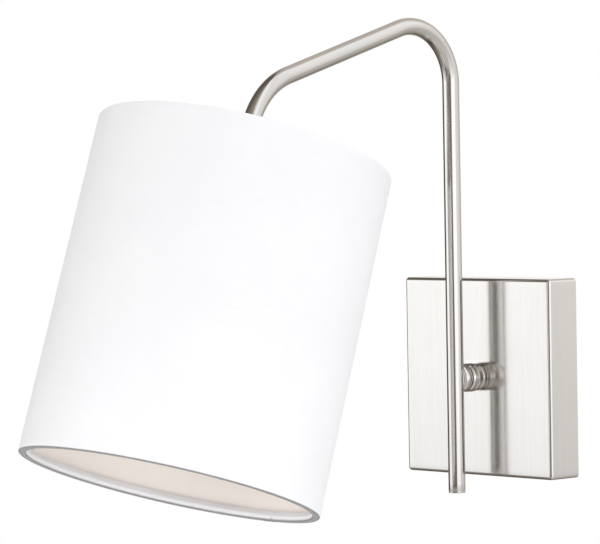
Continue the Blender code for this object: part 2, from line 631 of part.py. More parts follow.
def make_holder_body():
    thread = HOLDER_THREAD_RADIUS
    shoulder = thread + 1.4 * MM
    skirt = thread - 1.0 * MM
    turned("holder_body", shade_axis, [
        (0.0, HOLDER_FLOOR_TOP), (shoulder, HOLDER_FLOOR_TOP), (shoulder, HOLDER_SHOULDER),
        (thread, HOLDER_SHOULDER), (thread, HOLDER_THREAD_END), (skirt, HOLDER_THREAD_END - 1.0 * MM),
        (skirt, HOLDER_MOUTH), (HOLDER_INNER_RADIUS, HOLDER_MOUTH), (HOLDER_INNER_RADIUS, HOLDER_FLOOR),
        (0.0, HOLDER_FLOOR),
    ], PHENOLIC, closed=False)
    for name, side, look in (("line", -1.0, BRASS), ("neutral", 1.0, ZINC)):
        place = (side * 12.2 * MM, 0.0, HOLDER_FLOOR_TOP + GAP)
        slotted_screw(f"terminal_screw_{name}", shade_axis, place, 2.8 * MM, 1.8 * MM, 1.2 * MM,
                      0.25 * MM, look)
    shell_end = HOLDER_MOUTH + 1.0 * MM
    shell_inner = SHELL_RADIUS - SHELL_WALL
    turned("screw_shell", shade_axis, [
        (shell_inner, SHELL_TOP), (SHELL_RADIUS, SHELL_TOP), (SHELL_RADIUS, shell_end),
        (shell_inner, shell_end),
    ], BRASS)
    base = HOLDER_FLOOR - GAP
    base_radius = 4.6 * MM
    turned("centre_contact", shade_axis, [
        (0.0, base), (base_radius, base), (base_radius, base - 1.1 * MM), (2.4 * MM, CONTACT_FACE),
        (0.0, CONTACT_FACE),
    ], BRASS, closed=False, steps=SMALL_ROUND)
    inner, lip, grip = thread + 0.4 * MM, 25.0 * MM, 22.0 * MM
    turned("shade_ring", shade_axis, [
        (inner, RING_TOP), (lip, RING_TOP), (lip, RING_TOP - 1.8 * MM), (grip, RING_TOP - 2.8 * MM),
        (grip, RING_BOTTOM), (inner, RING_BOTTOM),
    ], PHENOLIC)


# ---------------------------------------------------------------- bulb
def glass_outline(radius, neck):
    """The globe's profile: a throat that swells from the neck, then an arc down to the tip."""
    globe = arc((0.0, BULB_TIP + BULB_RADIUS), radius, SHOULDER_ANGLE, -90.0, 8)
    x, z = globe[0]
    lead = 16.0 * MM
    slope = math.radians(SHOULDER_ANGLE)
    throat = bezier((neck, BULB_NECK), (neck, BULB_NECK - 14.0 * MM),
                    (x - lead * math.sin(slope), z + lead * math.cos(slope)), (x, z), 4)
    tip = (0.0, globe[-1][1])
    return throat[:-1] + globe[:-1] + [tip]


def make_bulb():
    contact_top = CONTACT_FACE - GAP
    contact_end = -46.6 * MM
    contact = 4.6 * MM
    turned("bulb_contact", shade_axis, [
        (0.0, contact_top), (contact - 1.0 * MM, contact_top), (contact, contact_top - 0.8 * MM),
        (contact, contact_end), (0.0, contact_end),
    ], BRASS, closed=False, steps=SMALL_ROUND)
    insulator_top = contact_end - GAP
    insulator_end = CAP_TOP + GAP
    turned("bulb_insulator", shade_axis, [
        (0.0, insulator_top), (5.0 * MM, insulator_top), (9.5 * MM, insulator_end + 0.7 * MM),
        (9.5 * MM, insulator_end), (0.0, insulator_end),
    ], PHENOLIC, closed=False, steps=SMALL_ROUND)
    hole, shoulder, cap_end = 9.0 * MM, CAP_TOP - 2.4 * MM, BULB_NECK + GAP
    turned("bulb_cap", shade_axis, [
        (hole, CAP_TOP), (hole + 1.2 * MM, CAP_TOP), (CAP_RADIUS, shoulder), (CAP_RADIUS, cap_end),
        (CAP_RADIUS - CAP_WALL, cap_end), (CAP_RADIUS - CAP_WALL, shoulder - 0.2 * MM),
        (hole + 1.0 * MM, CAP_TOP - CAP_WALL), (hole, CAP_TOP - CAP_WALL),
    ], NICKEL)
    neck = CAP_RADIUS - 0.2 * MM
    outside = glass_outline(BULB_RADIUS, neck)
    inside = glass_outline(BULB_RADIUS - BULB_WALL, neck - BULB_WALL)
    turned("bulb_glass", shade_axis, list(reversed(inside)) + outside, FROSTED, closed=False, steps=20)


# ---------------------------------------------------------------- shade
def shade_radius(height):
    """The fabric's outer radius at a height, which is 0 at the upper rim and falls to the lower rim."""
    return SHADE_RADIUS_TOP + (SHADE_RADIUS_BOTTOM - SHADE_RADIUS_TOP) * (-height / SHADE_HEIGHT)


def make_shade_cover():
    """The fabric, folded inwards round both rings, and the stiff liner between its hems."""
    bottom = -SHADE_HEIGHT
    upper, lower = shade_radius(0.0), shade_radius(bottom)
    fold = FABRIC + GAP + 2.0 * RING_WIRE + GAP
    lower_tail = bottom + LOWER_HEM
    turned("shade_fabric", shade_axis, [
        (upper - fold - FABRIC + RIM_EDGE, 0.0), (upper - RIM_EDGE, 0.0), (upper, -RIM_EDGE),
        (lower, bottom + RIM_EDGE), (lower - RIM_EDGE, bottom), (lower - fold - FABRIC + RIM_EDGE, bottom),
        (lower - fold - FABRIC, bottom + RIM_EDGE), (lower - fold - FABRIC, lower_tail),
        (lower - fold, lower_tail), (lower - fold, bottom + FABRIC), (lower - FABRIC, bottom + FABRIC),
        (upper - FABRIC, -FABRIC), (upper - fold, -FABRIC), (upper - fold, -UPPER_HEM),
        (upper - fold - FABRIC, -UPPER_HEM), (upper - fold - FABRIC, -RIM_EDGE),
    ], SHADE_WHITE, steps=SHADE_ROUND)
    margin = FABRIC + GAP + 2.0 * RING_WIRE + GAP
    top, end = -margin, bottom + margin
    outer_top, outer_end = shade_radius(top) - FABRIC - GAP, shade_radius(end) - FABRIC - GAP
    turned("shade_liner", shade_axis, [
        (outer_top - LINER, top), (outer_top, top), (outer_end, end), (outer_end - LINER, end),
    ], LINER_WHITE, steps=SHADE_ROUND)


def make_shade_frame():
    inset = FABRIC + GAP + RING_WIRE
    for name, rim, inwards in (("upper_ring", 0.0, -1.0), ("lower_ring", -SHADE_HEIGHT, 1.0)):
        radius = shade_radius(rim) - inset
        height = rim + inwards * inset
        points = [(x, y, height) for x, y in circle(radius, SHADE_ROUND)]
        wire(name, shade_axis, points, RING_WIRE, ZINC, closed=True)
    plate_outline("fitter_washer", shade_axis, [circle(FITTER_RADIUS), circle(FITTER_HOLE)],
                  FITTER_THICKNESS, FITTER_TOP - FITTER_THICKNESS, ZINC)
    foot = Vector((FITTER_RADIUS + GAP + 0.1 * MM, 0.0, FITTER_TOP - FITTER_THICKNESS / 2.0))
    elbow = foot + Vector((4.0 * MM, 0.0, 0.0))
    ring_place = Vector((shade_radius(0.0) - inset, 0.0, -inset))
    rise = (ring_place - elbow).normalized()
    top = ring_place - rise * (RING_WIRE + GAP)
    spoke = rounded_path([foot, elbow, top], [8.0 * MM], 4)
    for i in range(SPOKES):
        turn = Matrix.Rotation(2.0 * math.pi * (i + 0.25) / SPOKES, 3, "Z")
        wire(f"spoke_{i + 1}", shade_axis, [turn @ point for point in spoke], SPOKE_RADIUS, ZINC)


make_back_plate()
make_mounting_bar()
make_plate_fasteners()
make_ground_lead()
make_hook_clip()
make_swivel_front()
make_swivel_back()
make_arm()
make_leads()
make_holder_cap()
make_holder_body()
make_bulb()
make_shade_cover()
make_shade_frame()
bpy.context.view_layer.update()
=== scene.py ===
"""The looks of a wall sconce: a square plate, a bent tube arm on a swivel, and a white drum shade.

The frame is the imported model's, in metres: the wall is the plane Y = 0 and +Z is up. Lengths of the lamp's
own pieces are in millimetres, and to_piece() turns their meshes into metres. Turned pieces are made along the local Z axis of one
of two places: SWIVEL, whose axis points out of the wall, and SHADE, whose zero is the shade's upper rim,
with the shade below it.
"""

import json
from math import atan2, cos, dist, hypot, pi, radians, sin, tan, tau

import bmesh
import bpy
from bmesh import ops
from mathutils import Matrix, Vector, noise


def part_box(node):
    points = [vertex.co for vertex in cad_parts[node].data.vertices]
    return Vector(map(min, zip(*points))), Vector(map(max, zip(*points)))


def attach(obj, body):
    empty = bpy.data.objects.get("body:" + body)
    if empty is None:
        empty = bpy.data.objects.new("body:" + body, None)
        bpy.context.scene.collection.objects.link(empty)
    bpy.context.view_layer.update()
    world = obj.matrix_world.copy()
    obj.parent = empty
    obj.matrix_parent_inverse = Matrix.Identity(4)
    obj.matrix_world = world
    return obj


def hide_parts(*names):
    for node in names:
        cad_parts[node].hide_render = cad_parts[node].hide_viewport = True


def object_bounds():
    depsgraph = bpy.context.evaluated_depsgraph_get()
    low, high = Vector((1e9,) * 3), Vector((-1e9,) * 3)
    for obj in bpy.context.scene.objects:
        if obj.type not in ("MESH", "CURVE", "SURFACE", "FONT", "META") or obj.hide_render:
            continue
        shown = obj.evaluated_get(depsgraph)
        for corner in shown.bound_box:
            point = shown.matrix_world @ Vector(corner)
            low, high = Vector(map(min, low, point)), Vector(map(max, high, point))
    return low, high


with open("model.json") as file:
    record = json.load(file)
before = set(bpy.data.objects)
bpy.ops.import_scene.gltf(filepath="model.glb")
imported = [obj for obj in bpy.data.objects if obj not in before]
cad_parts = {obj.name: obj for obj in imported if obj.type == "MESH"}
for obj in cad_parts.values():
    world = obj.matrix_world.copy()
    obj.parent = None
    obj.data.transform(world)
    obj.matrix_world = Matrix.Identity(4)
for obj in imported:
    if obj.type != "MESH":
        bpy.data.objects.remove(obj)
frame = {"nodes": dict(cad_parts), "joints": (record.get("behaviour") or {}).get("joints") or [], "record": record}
cad_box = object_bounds()

MM = 0.001
X_AXIS = Vector((1.0, 0.0, 0.0))

# Camera: where it stands, which way it looks, and how long its lens is
CAMERA_PLACE = (1.3916, -1.5061, 0.1284)
CAMERA_AZIMUTH = 0.8063
CAMERA_PITCH = 0.0309
CAMERA_ROLL = -0.0172
SENSOR_WIDTH = 36.0
LENS = 200.6
FAR_CLIP = 50.0

# Studio: how bright its surroundings are, by compass angle, at the level of the lamp, above and below
STUDIO_PEAK = 1.6
STUDIO_WARMTH = 0.2
STUDIO_LEVEL = [
    (-180, 0.45), (-166, 0.60), (-152, 1.02), (-126, 1.02), (-112, 0.12), (-76, 0.05), (-66, 0.50),
    (-58, 1.42), (-30, 1.42), (-18, 0.90), (-8, 0.36), (6, 0.22), (20, 0.26), (34, 0.18), (45, 0.26),
    (52, 1.50), (90, 1.50), (99, 1.08), (120, 0.92), (137, 0.94), (160, 0.72), (172, 0.60), (180, 0.45),
]
STUDIO_ABOVE = [
    (-180, 0.60), (-134, 0.55), (-112, 0.12), (-63, 0.13), (0, 0.24), (38, 0.40), (54, 0.80), (66, 1.20),
    (76, 1.28), (92, 1.10), (104, 1.00), (131, 1.10), (141, 1.20), (160, 0.95), (180, 0.60),
]
STUDIO_BELOW = [
    (-180, 0.36), (-130, 0.20), (-110, 0.10), (-60, 0.30), (0, 0.60), (40, 0.80), (90, 0.90), (140, 0.75),
    (160, 0.69), (180, 0.36),
]

# Soft lights: name, compass angle, elevation, distance and width in metres, and power
LIGHTS = [
    ("key", -16.0, 20.0, 2.2, 1.2, 6.8),
    ("overhead", 43.0, 68.0, 2.0, 0.8, 9.8),
    ("left_fill", -50.0, 10.0, 2.2, 1.2, 8.6),
    ("fill", 95.0, 10.0, 2.2, 1.2, 5.2),
    ("from_below", 14.0, -50.0, 0.6, 0.4, 1.6),
]

# Floor, in metres
FLOOR_HEIGHT = -0.45
FLOOR_RADIUS = 1.3
FLOOR_MIDDLE_Y = -0.15

# Everything from here on is in millimetres and degrees.
# Meshes
WELD = 0.002  # points closer than this become one
SMOOTH_ANGLE = 32.0  # sharper edges than this stay sharp
GLUE_ANGLE = 60.0  # the same for cloth and glass, which have no sharp edges
PATH_STEP = 4.0  # length of the pieces that a straight tube is cut into

# Arm
BOOM_SLOPE = radians(17.2)
UPPER_BEND = 34.0
LOWER_BEND = 46.0
DROP_TO_RIM = 36.0
TUBE_INSIDE_SHADE = 22.0
TUBE_WALL = 1.0
TUBE_LIP = 0.15  # the rounding of a tube's cut end
TUBE_BORE_DEPTH = 10.0  # how far in from its ends a tube shows its bore
PLUG_PLAY = 0.3  # between the bore and what sits in it

# Back plate
PLATE_WALL = 2.0
PLATE_EDGE_RADIUS = 2.2
PLATE_RIM_BEVEL = 0.25
LIGHT_EDGE_BORDER = 5.0  # the lighter edges, partly wear and partly a painted highlight, stay inside this strip of the plate
LIGHT_EDGE_CENTRE = 11.0  # half the square around the plate's hole
PLATE_SCREW_Y = -8.0
PLATE_SCREW_SHANK = 1.35
PLATE_SCREW_HOLE = 1.8
PLATE_SINK = 3.6  # radius of the countersink at the surface
HOLE_PLAY = 0.3
CUT_REACH = 5.0  # a cutter goes this far past the wall it cuts

# Swivel
BASE_NECK_WALL = 1.5
BASE_FLANGE = 2.6
HEAD_BULGE = 2.2
SADDLE_PLAY = 0.1

# Lamp holder and bulb
HOLDER_HUB = 8.2
HOLDER_BORE = 15.4
PHENOLIC_SHEET = 1.2
HOLDER_THREAD = 2.8  # pitch of the thread that takes the shade ring
BULB_THREAD = 3.63  # pitch of the bulb's thread
SHELL_SHEET = 0.4
GRIP_DEPTH = 3.0  # how far the shade ring's lip stands out past its grip
BULB_NECK = 12.8
BULB_WALL = 1.0
CAP_HOLE = 9.0

# Shade
FABRIC = 0.8
LINER = 0.6
RING_WIRE = 1.3  # radius of the two rings' wire
SPOKE_WIRE = 1.4
TAPER = 1.0  # the upper rim's radius is this much smaller than the lower one's
LOWER_HEM = 5.6
FOLD = FABRIC + RING_WIRE + 0.3  # from the cloth's outside to the middle of the wire in it
CREASE = 0.7  # radius of the lower fold's two corners
SEAM_OVERLAP = 9.0
SEAM_STEP = 0.5
SEAM_CLIMB = 2.5
THREAD_PITCH = 0.5

record = frame["record"]
nodes = frame["nodes"]
joints = {joint["name"]: joint for joint in frame["joints"]}
body_of = {node: body for body, members in record["behaviour"]["bodies"].items() for node in members}


def axis_place(joint):
    """A place whose local Z is a joint's axis and whose local X is the world's."""
    z = Vector(joint["axis"]).normalized()
    turn = Matrix((X_AXIS, z.cross(X_AXIS), z)).transposed().to_4x4()
    return Matrix.Translation(joint["pos_m"]) @ turn


def at(x, y, z):
    """A place that isn't turned, from millimetres."""
    return Matrix.Translation(Vector((x, y, z)) * MM)


SWIVEL = axis_place(joints["arm_swivel"])
SHADE = axis_place(joints["shade_turn"])
WORLD = Matrix.Identity(4)


def box(node):
    """A CAD node's lowest and highest corners, in millimetres."""
    low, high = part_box(node)
    return Vector(low) / MM, Vector(high) / MM


def extent(node, place):
    """A CAD node's smallest and largest radius, and lowest and highest point, about a local Z axis."""
    inverse = place.inverted()
    points = [inverse @ vertex.co / MM for vertex in nodes[node].data.vertices]
    radii = [hypot(point.x, point.y) for point in points]
    heights = [point.z for point in points]
    return min(radii), max(radii), min(heights), max(heights)


# -------- shader nodes
class Nodes:
    """A node tree. A source is a node with the name or number of one of its outputs."""

    def __init__(self, tree):
        self.tree = tree

    def feed(self, socket, value):
        if isinstance(value, tuple) and isinstance(value[0], bpy.types.Node):
            self.tree.links.new(value[0].outputs[value[1]], socket)
        else:
            socket.default_value = value

    def add(self, kind, settings=None, **inputs):
        """Adds a node. Inputs are values or sources, by socket name with _ for a space, or by i and number."""
        node = self.tree.nodes.new("ShaderNode" + kind)
        for name, value in (settings or {}).items():
            setattr(node, name, value)
        for name, value in inputs.items():
            numbered = name[0] == "i" and name[1:].isdigit()
            self.feed(node.inputs[int(name[1:]) if numbered else name.replace("_", " ")], value)
        return node

    def attribute(self, name, output="Vector"):
        return self.add("Attribute", {"attribute_name": name}), output

    def own_place(self):
        return self.add("TexCoord"), "Object"

    def stretched(self, source, factors):
        return self.add("VectorMath", {"operation": "MULTIPLY"}, i0=source, i1=factors), 0

    def noise(self, scale, detail=3.0, roughness=0.55, distortion=0.0, attribute=None):
        """Noise over the object's own coordinates or an attribute. A scale is one number or one for each axis."""
        source = self.attribute(attribute) if attribute else self.own_place()
        factors = scale if isinstance(scale, tuple) else (scale,) * 3
        return self.add("TexNoise", Vector=self.stretched(source, factors), Scale=1.0, Detail=detail,
                        Roughness=roughness,
                        Distortion=distortion), 0

    def math(self, operation, first, second=0.0):
        return self.add("Math", {"operation": operation}, i0=first, i1=second), 0

    def times(self, first, second):
        return self.math("MULTIPLY", first, second)

    def plus(self, first, second):
        return self.math("ADD", first, second)

    def ranged(self, value, low, high, to_low=0.0, to_high=1.0):
        return self.add("MapRange", Value=value, From_Min=low, From_Max=high, To_Min=to_low,
                        To_Max=to_high), 0

    def spread(self, value, to_low=0.0, to_high=1.0):
        """The middle of a noise, stretched to a range."""
        return self.ranged(value, 0.3, 0.7, to_low, to_high)

    def mixed(self, factor, first, second):
        node = self.add("Mix", {"data_type": "RGBA"}, i0=factor)
        for number, colour in ((6, first), (7, second)):
            self.feed(node.inputs[number], colour if isinstance(colour[0], bpy.types.Node) else (*colour, 1.0))
        return node, 2

    def edge_wear_and_highlight(self):
        """How sharp an outer edge is, from 0 on flats and hollows to 1 on edges. It masks wear, and also a painted
        highlight where it only makes an edge lighter.
        """
        return self.ranged((self.add("NewGeometry"), "Pointiness"), 0.51, 0.60)


class Surface(Nodes):
    """A material that is being made: a node tree around one shader."""

    def __init__(self, name, roughness, metallic=0.0, **constants):
        self.material = bpy.data.materials.new(name)
        self.material.use_nodes = True
        super().__init__(self.material.node_tree)
        self.shader = self.tree.nodes["Principled BSDF"]
        for socket, value in {"Roughness": roughness, "Metallic": metallic, **constants}.items():
            self.shader.inputs[socket.replace("_", " ")].default_value = value

    def finished(self, colour, relief, depth, strength, roughness=None):
        """Connects a colour, a bump that is depth metres deep, and a roughness, and returns the material."""
        bump = self.add("Bump", Height=relief, Distance=depth, Strength=strength)
        self.feed(self.shader.inputs["Base Color"], colour)
        self.feed(self.shader.inputs["Normal"], (bump, "Normal"))
        if roughness is not None:
            self.feed(self.shader.inputs["Roughness"], roughness)
        return self.material


def shaded(colour, amount):
    return tuple(min(1.0, part * amount) for part in colour)


# -------- materials
def brushed_nickel(name, attribute, stretch, roughness, grain):
    """Warm grey plate over a brushed base. stretch is how fast the scratches change along each axis."""
    colour = (0.70, 0.688, 0.672)
    s = Surface(name, roughness, 1.0)
    fine = s.noise(stretch, 4.0, 0.65, attribute=attribute)
    coarse = s.noise(tuple(0.22 * part for part in stretch), 2.0, attribute=attribute)
    smudge = s.noise(38.0, 3.0, 0.6, 0.4)
    scratches = s.plus(s.times(fine, 0.65), s.times(coarse, 0.35))
    tone = s.mixed(s.spread(scratches), shaded(colour, 1.0 - 2.2 * grain), shaded(colour, 1.0 + 1.6 * grain))
    rough = s.plus(s.spread(scratches, roughness - grain, roughness + grain),
                   s.ranged(smudge, 0.35, 0.75, -0.010, 0.028))
    # Edges are made lighter: partly wear, partly a painted highlight.
    return s.finished(s.mixed(s.edge_wear_and_highlight(), tone, shaded(colour, 1.12)), scratches, 0.00004, 6.0 * grain, rough)


def zinc_plate(name):
    """Blue-grey zinc with a faint crystal pattern and duller patches."""
    s = Surface(name, 0.36, 1.0)
    crystals = s.add("TexVoronoi", Vector=s.stretched(s.own_place(), (420.0,) * 3), Scale=1.0)
    patches = s.noise(90.0, 4.0)
    tone = s.mixed((crystals, "Color"), (0.55, 0.575, 0.60), (0.67, 0.69, 0.71))
    dull = s.mixed(s.ranged(patches, 0.45, 0.75, 0.0, 0.7), tone, (0.50, 0.51, 0.52))
    # Edges are made much lighter: partly wear, partly a painted highlight.
    return s.finished(s.mixed(s.edge_wear_and_highlight(), dull, (0.78, 0.79, 0.80)), s.noise(1500.0, 2.0), 0.00003, 0.25,
                      s.spread(patches, 0.28, 0.46))


def plain_brass(name):
    """Brass with browner patches, and brighter edges that are partly wear and partly a painted highlight."""
    s = Surface(name, 0.3, 1.0)
    tarnish = s.noise(160.0, 4.0, 0.65)
    tone = s.mixed(s.ranged(tarnish, 0.35, 0.75), (0.80, 0.61, 0.29), (0.55, 0.38, 0.16))
    # Edges are made brighter: partly wear, partly a painted highlight.
    return s.finished(s.mixed(s.edge_wear_and_highlight(), tone, (0.90, 0.74, 0.42)), s.noise(1100.0, 3.0), 0.00003, 0.3,
                      s.spread(tarnish, 0.22, 0.42))


def moulded(name, colour, roughness, speckle, coat):
    """Moulded plastic: a slight orange peel, cloudy gloss, and paler edges that show both wear and a painted
    highlight.
    """
    s = Surface(name, roughness, Coat_Weight=coat, Coat_Roughness=0.25, IOR=1.5)
    tone = s.mixed(s.ranged(s.noise(2600.0, 2.0), 0.40, 0.65), colour, shaded(colour, 1.0 + speckle))
    # Edges are made paler: partly wear, partly a painted highlight.
    edges_rubbed_and_highlit = s.mixed(s.edge_wear_and_highlight(), tone, shaded(colour, 1.0 + 3.0 * speckle))
    return s.finished(edges_rubbed_and_highlit, s.noise(900.0, 2.0), 0.00004, 0.2,
                      s.spread(s.noise(120.0), roughness - 0.06, roughness + 0.08))


def white_linen(name):
    """A fine plain weave with thicker slubs here and there, in the cloth's own flat coordinates."""
    s = Surface(name, 0.92, Sheen_Weight=0.12, Sheen_Roughness=0.6, Specular_IOR_Level=0.25)
    turns = tau / (THREAD_PITCH * MM)
    flat = s.add("SeparateXYZ", Vector=s.attribute("cloth"))
    shift = s.times(s.noise((300.0, 300.0, 0.0), 1.0, attribute="cloth"), 3.0)
    warp, weft = (s.math("SINE", s.plus(s.times((flat, axis), turns), shift)) for axis in ("X", "Y"))
    weave = s.times(warp, weft)
    across = s.noise((55.0, 1900.0, 0.0), 2.0, attribute="cloth")
    along = s.noise((1900.0, 38.0, 0.0), 2.0, attribute="cloth")
    slubs = s.math("MAXIMUM", s.ranged(across, 0.56, 0.78), s.ranged(along, 0.58, 0.80))
    cloud = s.noise((24.0, 24.0, 0.0), attribute="cloth")
    tone = s.mixed(s.spread(cloud), (0.888, 0.906, 0.948), (0.911, 0.928, 0.965))
    slubbed = s.mixed(s.times(slubs, 0.45), tone, (0.85, 0.855, 0.895))
    # The weave's hollows are painted a little darker: painted shade between the threads.
    weave_pit_shade = s.mixed(s.ranged(weave, -1.0, 1.0, 0.10, 0.0), slubbed, (0.74, 0.74, 0.78))
    # Painted shadow: the cloth goes nearly black where the lower ring's shadow shows through the fold, a little
    # less over slubs.
    wire = s.times(s.attribute("hem", "Fac"), s.ranged(slubs, 0.0, 1.0, 1.0, 0.8))
    return s.finished(s.mixed(wire, weave_pit_shade, (0.05, 0.05, 0.052)), s.plus(s.times(weave, 0.35), slubs), 0.00012,
                      0.55)


def styrene(name):
    """The stiff off-white lining, with a faint pebble and a few scuffs."""
    s = Surface(name, 0.55, Specular_IOR_Level=0.35)
    cloud = s.noise(30.0)
    scuffs = s.ranged(s.noise((60.0, 60.0, 900.0), 2.0), 0.62, 0.80, 0.0, 0.35)
    tone = s.mixed(s.spread(cloud), (0.86, 0.815, 0.785), (0.885, 0.845, 0.815))
    return s.finished(s.mixed(scuffs, tone, (0.81, 0.76, 0.72)), s.noise(1400.0, 2.0), 0.00004, 0.25,
                      s.spread(cloud, 0.48, 0.62))


def frosted_glass(name):
    """White frosting under glass, a little cloudy."""
    s = Surface(name, 0.42, Coat_Weight=0.45, Coat_Roughness=0.22)
    cloud = s.noise(55.0, 4.0)
    tone = s.mixed(s.spread(cloud), (0.90, 0.90, 0.885), (0.95, 0.95, 0.94))
    return s.finished(tone, s.noise(3200.0, 2.0), 0.00002, 0.3, s.spread(cloud, 0.36, 0.50))


def chipped_paint(name, colour):
    """Green coating on steel, chipped through to the metal on its edges."""
    s = Surface(name, 0.42, Coat_Weight=0.2, Coat_Roughness=0.2)
    cloud = s.noise(300.0)
    tone = s.mixed(s.spread(cloud), shaded(colour, 0.8), shaded(colour, 1.25))
    chips = s.times(s.edge_wear_and_highlight(), s.ranged(cloud, 0.45, 0.55))
    s.feed(s.shader.inputs["Metallic"], chips)
    return s.finished(s.mixed(chips, tone, (0.55, 0.56, 0.56)), cloud, 0.00005, 0.3)


def insulation(name, colour, dusty):
    """Extruded insulation, with faint lines along the wire and a dusty sheen."""
    s = Surface(name, 0.45, Specular_IOR_Level=0.4)
    dust = s.noise(180.0, 4.0)
    tone = s.mixed(s.ranged(dust, 0.4, 0.8, 0.0, 0.6), colour, dusty)
    return s.finished(tone, s.noise((2400.0, 120.0, 120.0), 2.0), 0.00004, 0.3, s.spread(dust, 0.38, 0.56))


def studio_floor(name):
    """A pale painted floor that fades out towards its rim, where the plain background takes over."""
    s = Surface(name, 0.6, Specular_IOR_Level=0.1, Emission_Strength=0.22, Emission_Color=(1.0, 1.0, 1.0, 1.0))
    tone = s.mixed(s.spread(s.noise(3.0, 4.0)), (0.88, 0.88, 0.878), (0.92, 0.92, 0.918))
    material = s.finished(tone, s.noise(220.0, 2.0), 0.0002, 0.05)
    away = s.add("VectorMath", {"operation": "LENGTH"}, i0=s.own_place())
    fade = s.add("MapRange", {"interpolation_type": "SMOOTHSTEP"}, Value=(away, "Value"),
                 From_Min=0.35 * FLOOR_RADIUS, From_Max=0.92 * FLOOR_RADIUS)
    joined = s.add("MixShader", i0=(fade, 0), i1=(s.shader, 0),
                   i2=(s.add("BsdfTransparent"), 0))
    s.feed(s.tree.nodes["Material Output"].inputs["Surface"], (joined, 0))
    return material


# Each look: its slot in the record and its material
LOOKS = {
    "plate_nickel": ("brushed_nickel",
                     brushed_nickel("nickel_vertical_grain", None, (2600.0, 2600.0, 55.0), 0.15, 0.028)),
    "tube_nickel": ("brushed_nickel",
                    brushed_nickel("nickel_lengthwise_grain", "grain", (2600.0, 2600.0, 60.0), 0.115, 0.018)),
    "turned_nickel": ("brushed_nickel",
                      brushed_nickel("nickel_turned_grain", "grain", (3600.0, 80.0, 80.0), 0.125, 0.018)),
    "zinc": ("zinc_steel", zinc_plate("zinc_plated_steel")),
    "brass": ("brass", plain_brass("plain_brass")),
    "phenolic": ("black_phenolic", moulded("moulded_phenolic", (0.028, 0.026, 0.025), 0.40, 0.5, 0.15)),
    "nylon": ("white_nylon", moulded("moulded_nylon", (0.84, 0.84, 0.80), 0.50, 0.04, 0.05)),
    "linen": ("shade_fabric", white_linen("white_linen")),
    "styrene": ("shade_liner", styrene("off_white_styrene")),
    "glass": ("frosted_glass", frosted_glass("frosted_glass")),
    "green": ("green_paint", chipped_paint("green_coating", (0.05, 0.34, 0.12))),
    "black_wire": ("black_insulation",
                   insulation("black_wire_insulation", (0.02, 0.02, 0.02), (0.06, 0.06, 0.06))),
    "white_wire": ("white_insulation",
                   insulation("white_wire_insulation", (0.88, 0.88, 0.86), (0.792, 0.792, 0.774))),
}


# -------- meshes
def add_object(name, data, place=WORLD):
    obj = bpy.data.objects.new(name, data)
    bpy.context.scene.collection.objects.link(obj)
    obj.matrix_world = place
    return obj


def to_mesh(bm, name):
    mesh = bpy.data.meshes.new(name)
    bm.to_mesh(mesh)
    bm.free()
    return mesh


def to_piece(bm, node, place, look, name=None, smooth_angle=SMOOTH_ANGLE, unit=MM):
    """Makes an object from a bmesh. It stands for a CAD node and rides on its body."""
    ops.scale(bm, vec=(unit,) * 3, verts=bm.verts)
    ops.remove_doubles(bm, verts=bm.verts, dist=WELD * MM)
    ops.recalc_face_normals(bm, faces=bm.faces)
    name = name or f"{node}_detail"
    mesh = to_mesh(bm, name)
    mesh.shade_smooth()
    mesh.set_sharp_from_angle(angle=radians(smooth_angle))
    piece = add_object(name, mesh, place)
    slot, material = LOOKS[look]
    mesh.materials.append(material)
    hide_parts(node)
    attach(piece, body_of[node])
    return piece


def soften_edges(piece, width, smooth_angle):
    modifier = piece.modifiers.new("soft_edges", "BEVEL")
    modifier.width = width * MM
    modifier.segments = 2
    modifier.limit_method = "ANGLE"
    modifier.angle_limit = radians(smooth_angle)


def steady_normals(piece):
    modifier = piece.modifiers.new("steady_normals", "WEIGHTED_NORMAL")
    modifier.keep_sharp = True
    modifier.weight = 60


def softened(profile, radius, closed=True, steps=3):
    """A profile whose corners are small curves. Nearly straight corners stay as they are."""
    last = len(profile) - 1
    points = []
    for i, (x, z) in enumerate(profile):
        corner = Vector((x, z))
        before = Vector(profile[i - 1]) - corner
        after = Vector(profile[(i + 1) % len(profile)]) - corner
        at_end = not closed and i in (0, last)
        if at_end or min(before.length, after.length) < 1e-6 or before.angle(after) > radians(160.0):
            points.append((x, z))
            continue
        reach = min(radius, 0.45 * before.length, 0.45 * after.length)
        start = corner + before.normalized() * reach
        end = corner + after.normalized() * reach
        for step in range(steps + 1):
            t = step / steps
            point = (1.0 - t) ** 2 * start + 2.0 * t * (1.0 - t) * corner + t * t * end
            points.append((point.x, point.y))
    return points


def divided(start, end, count):
    """Points along a straight line from start to end, both included."""
    start, end = Vector(start), Vector(end)
    return [tuple(start.lerp(end, i / count)) for i in range(count + 1)]


def arc(centre, radius, start, end, steps):
    """Points on an arc, with angles in degrees."""
    points = []
    for i in range(steps + 1):
        angle = radians(start + (end - start) * i / steps)
        points.append((centre[0] + radius * cos(angle), centre[1] + radius * sin(angle)))
    return points


def running_lengths(points):
    """How far along a line each of its points is."""
    lengths = [0.0]
    for before, after in zip(points, points[1:]):
        lengths.append(lengths[-1] + dist(before, after))
    return lengths


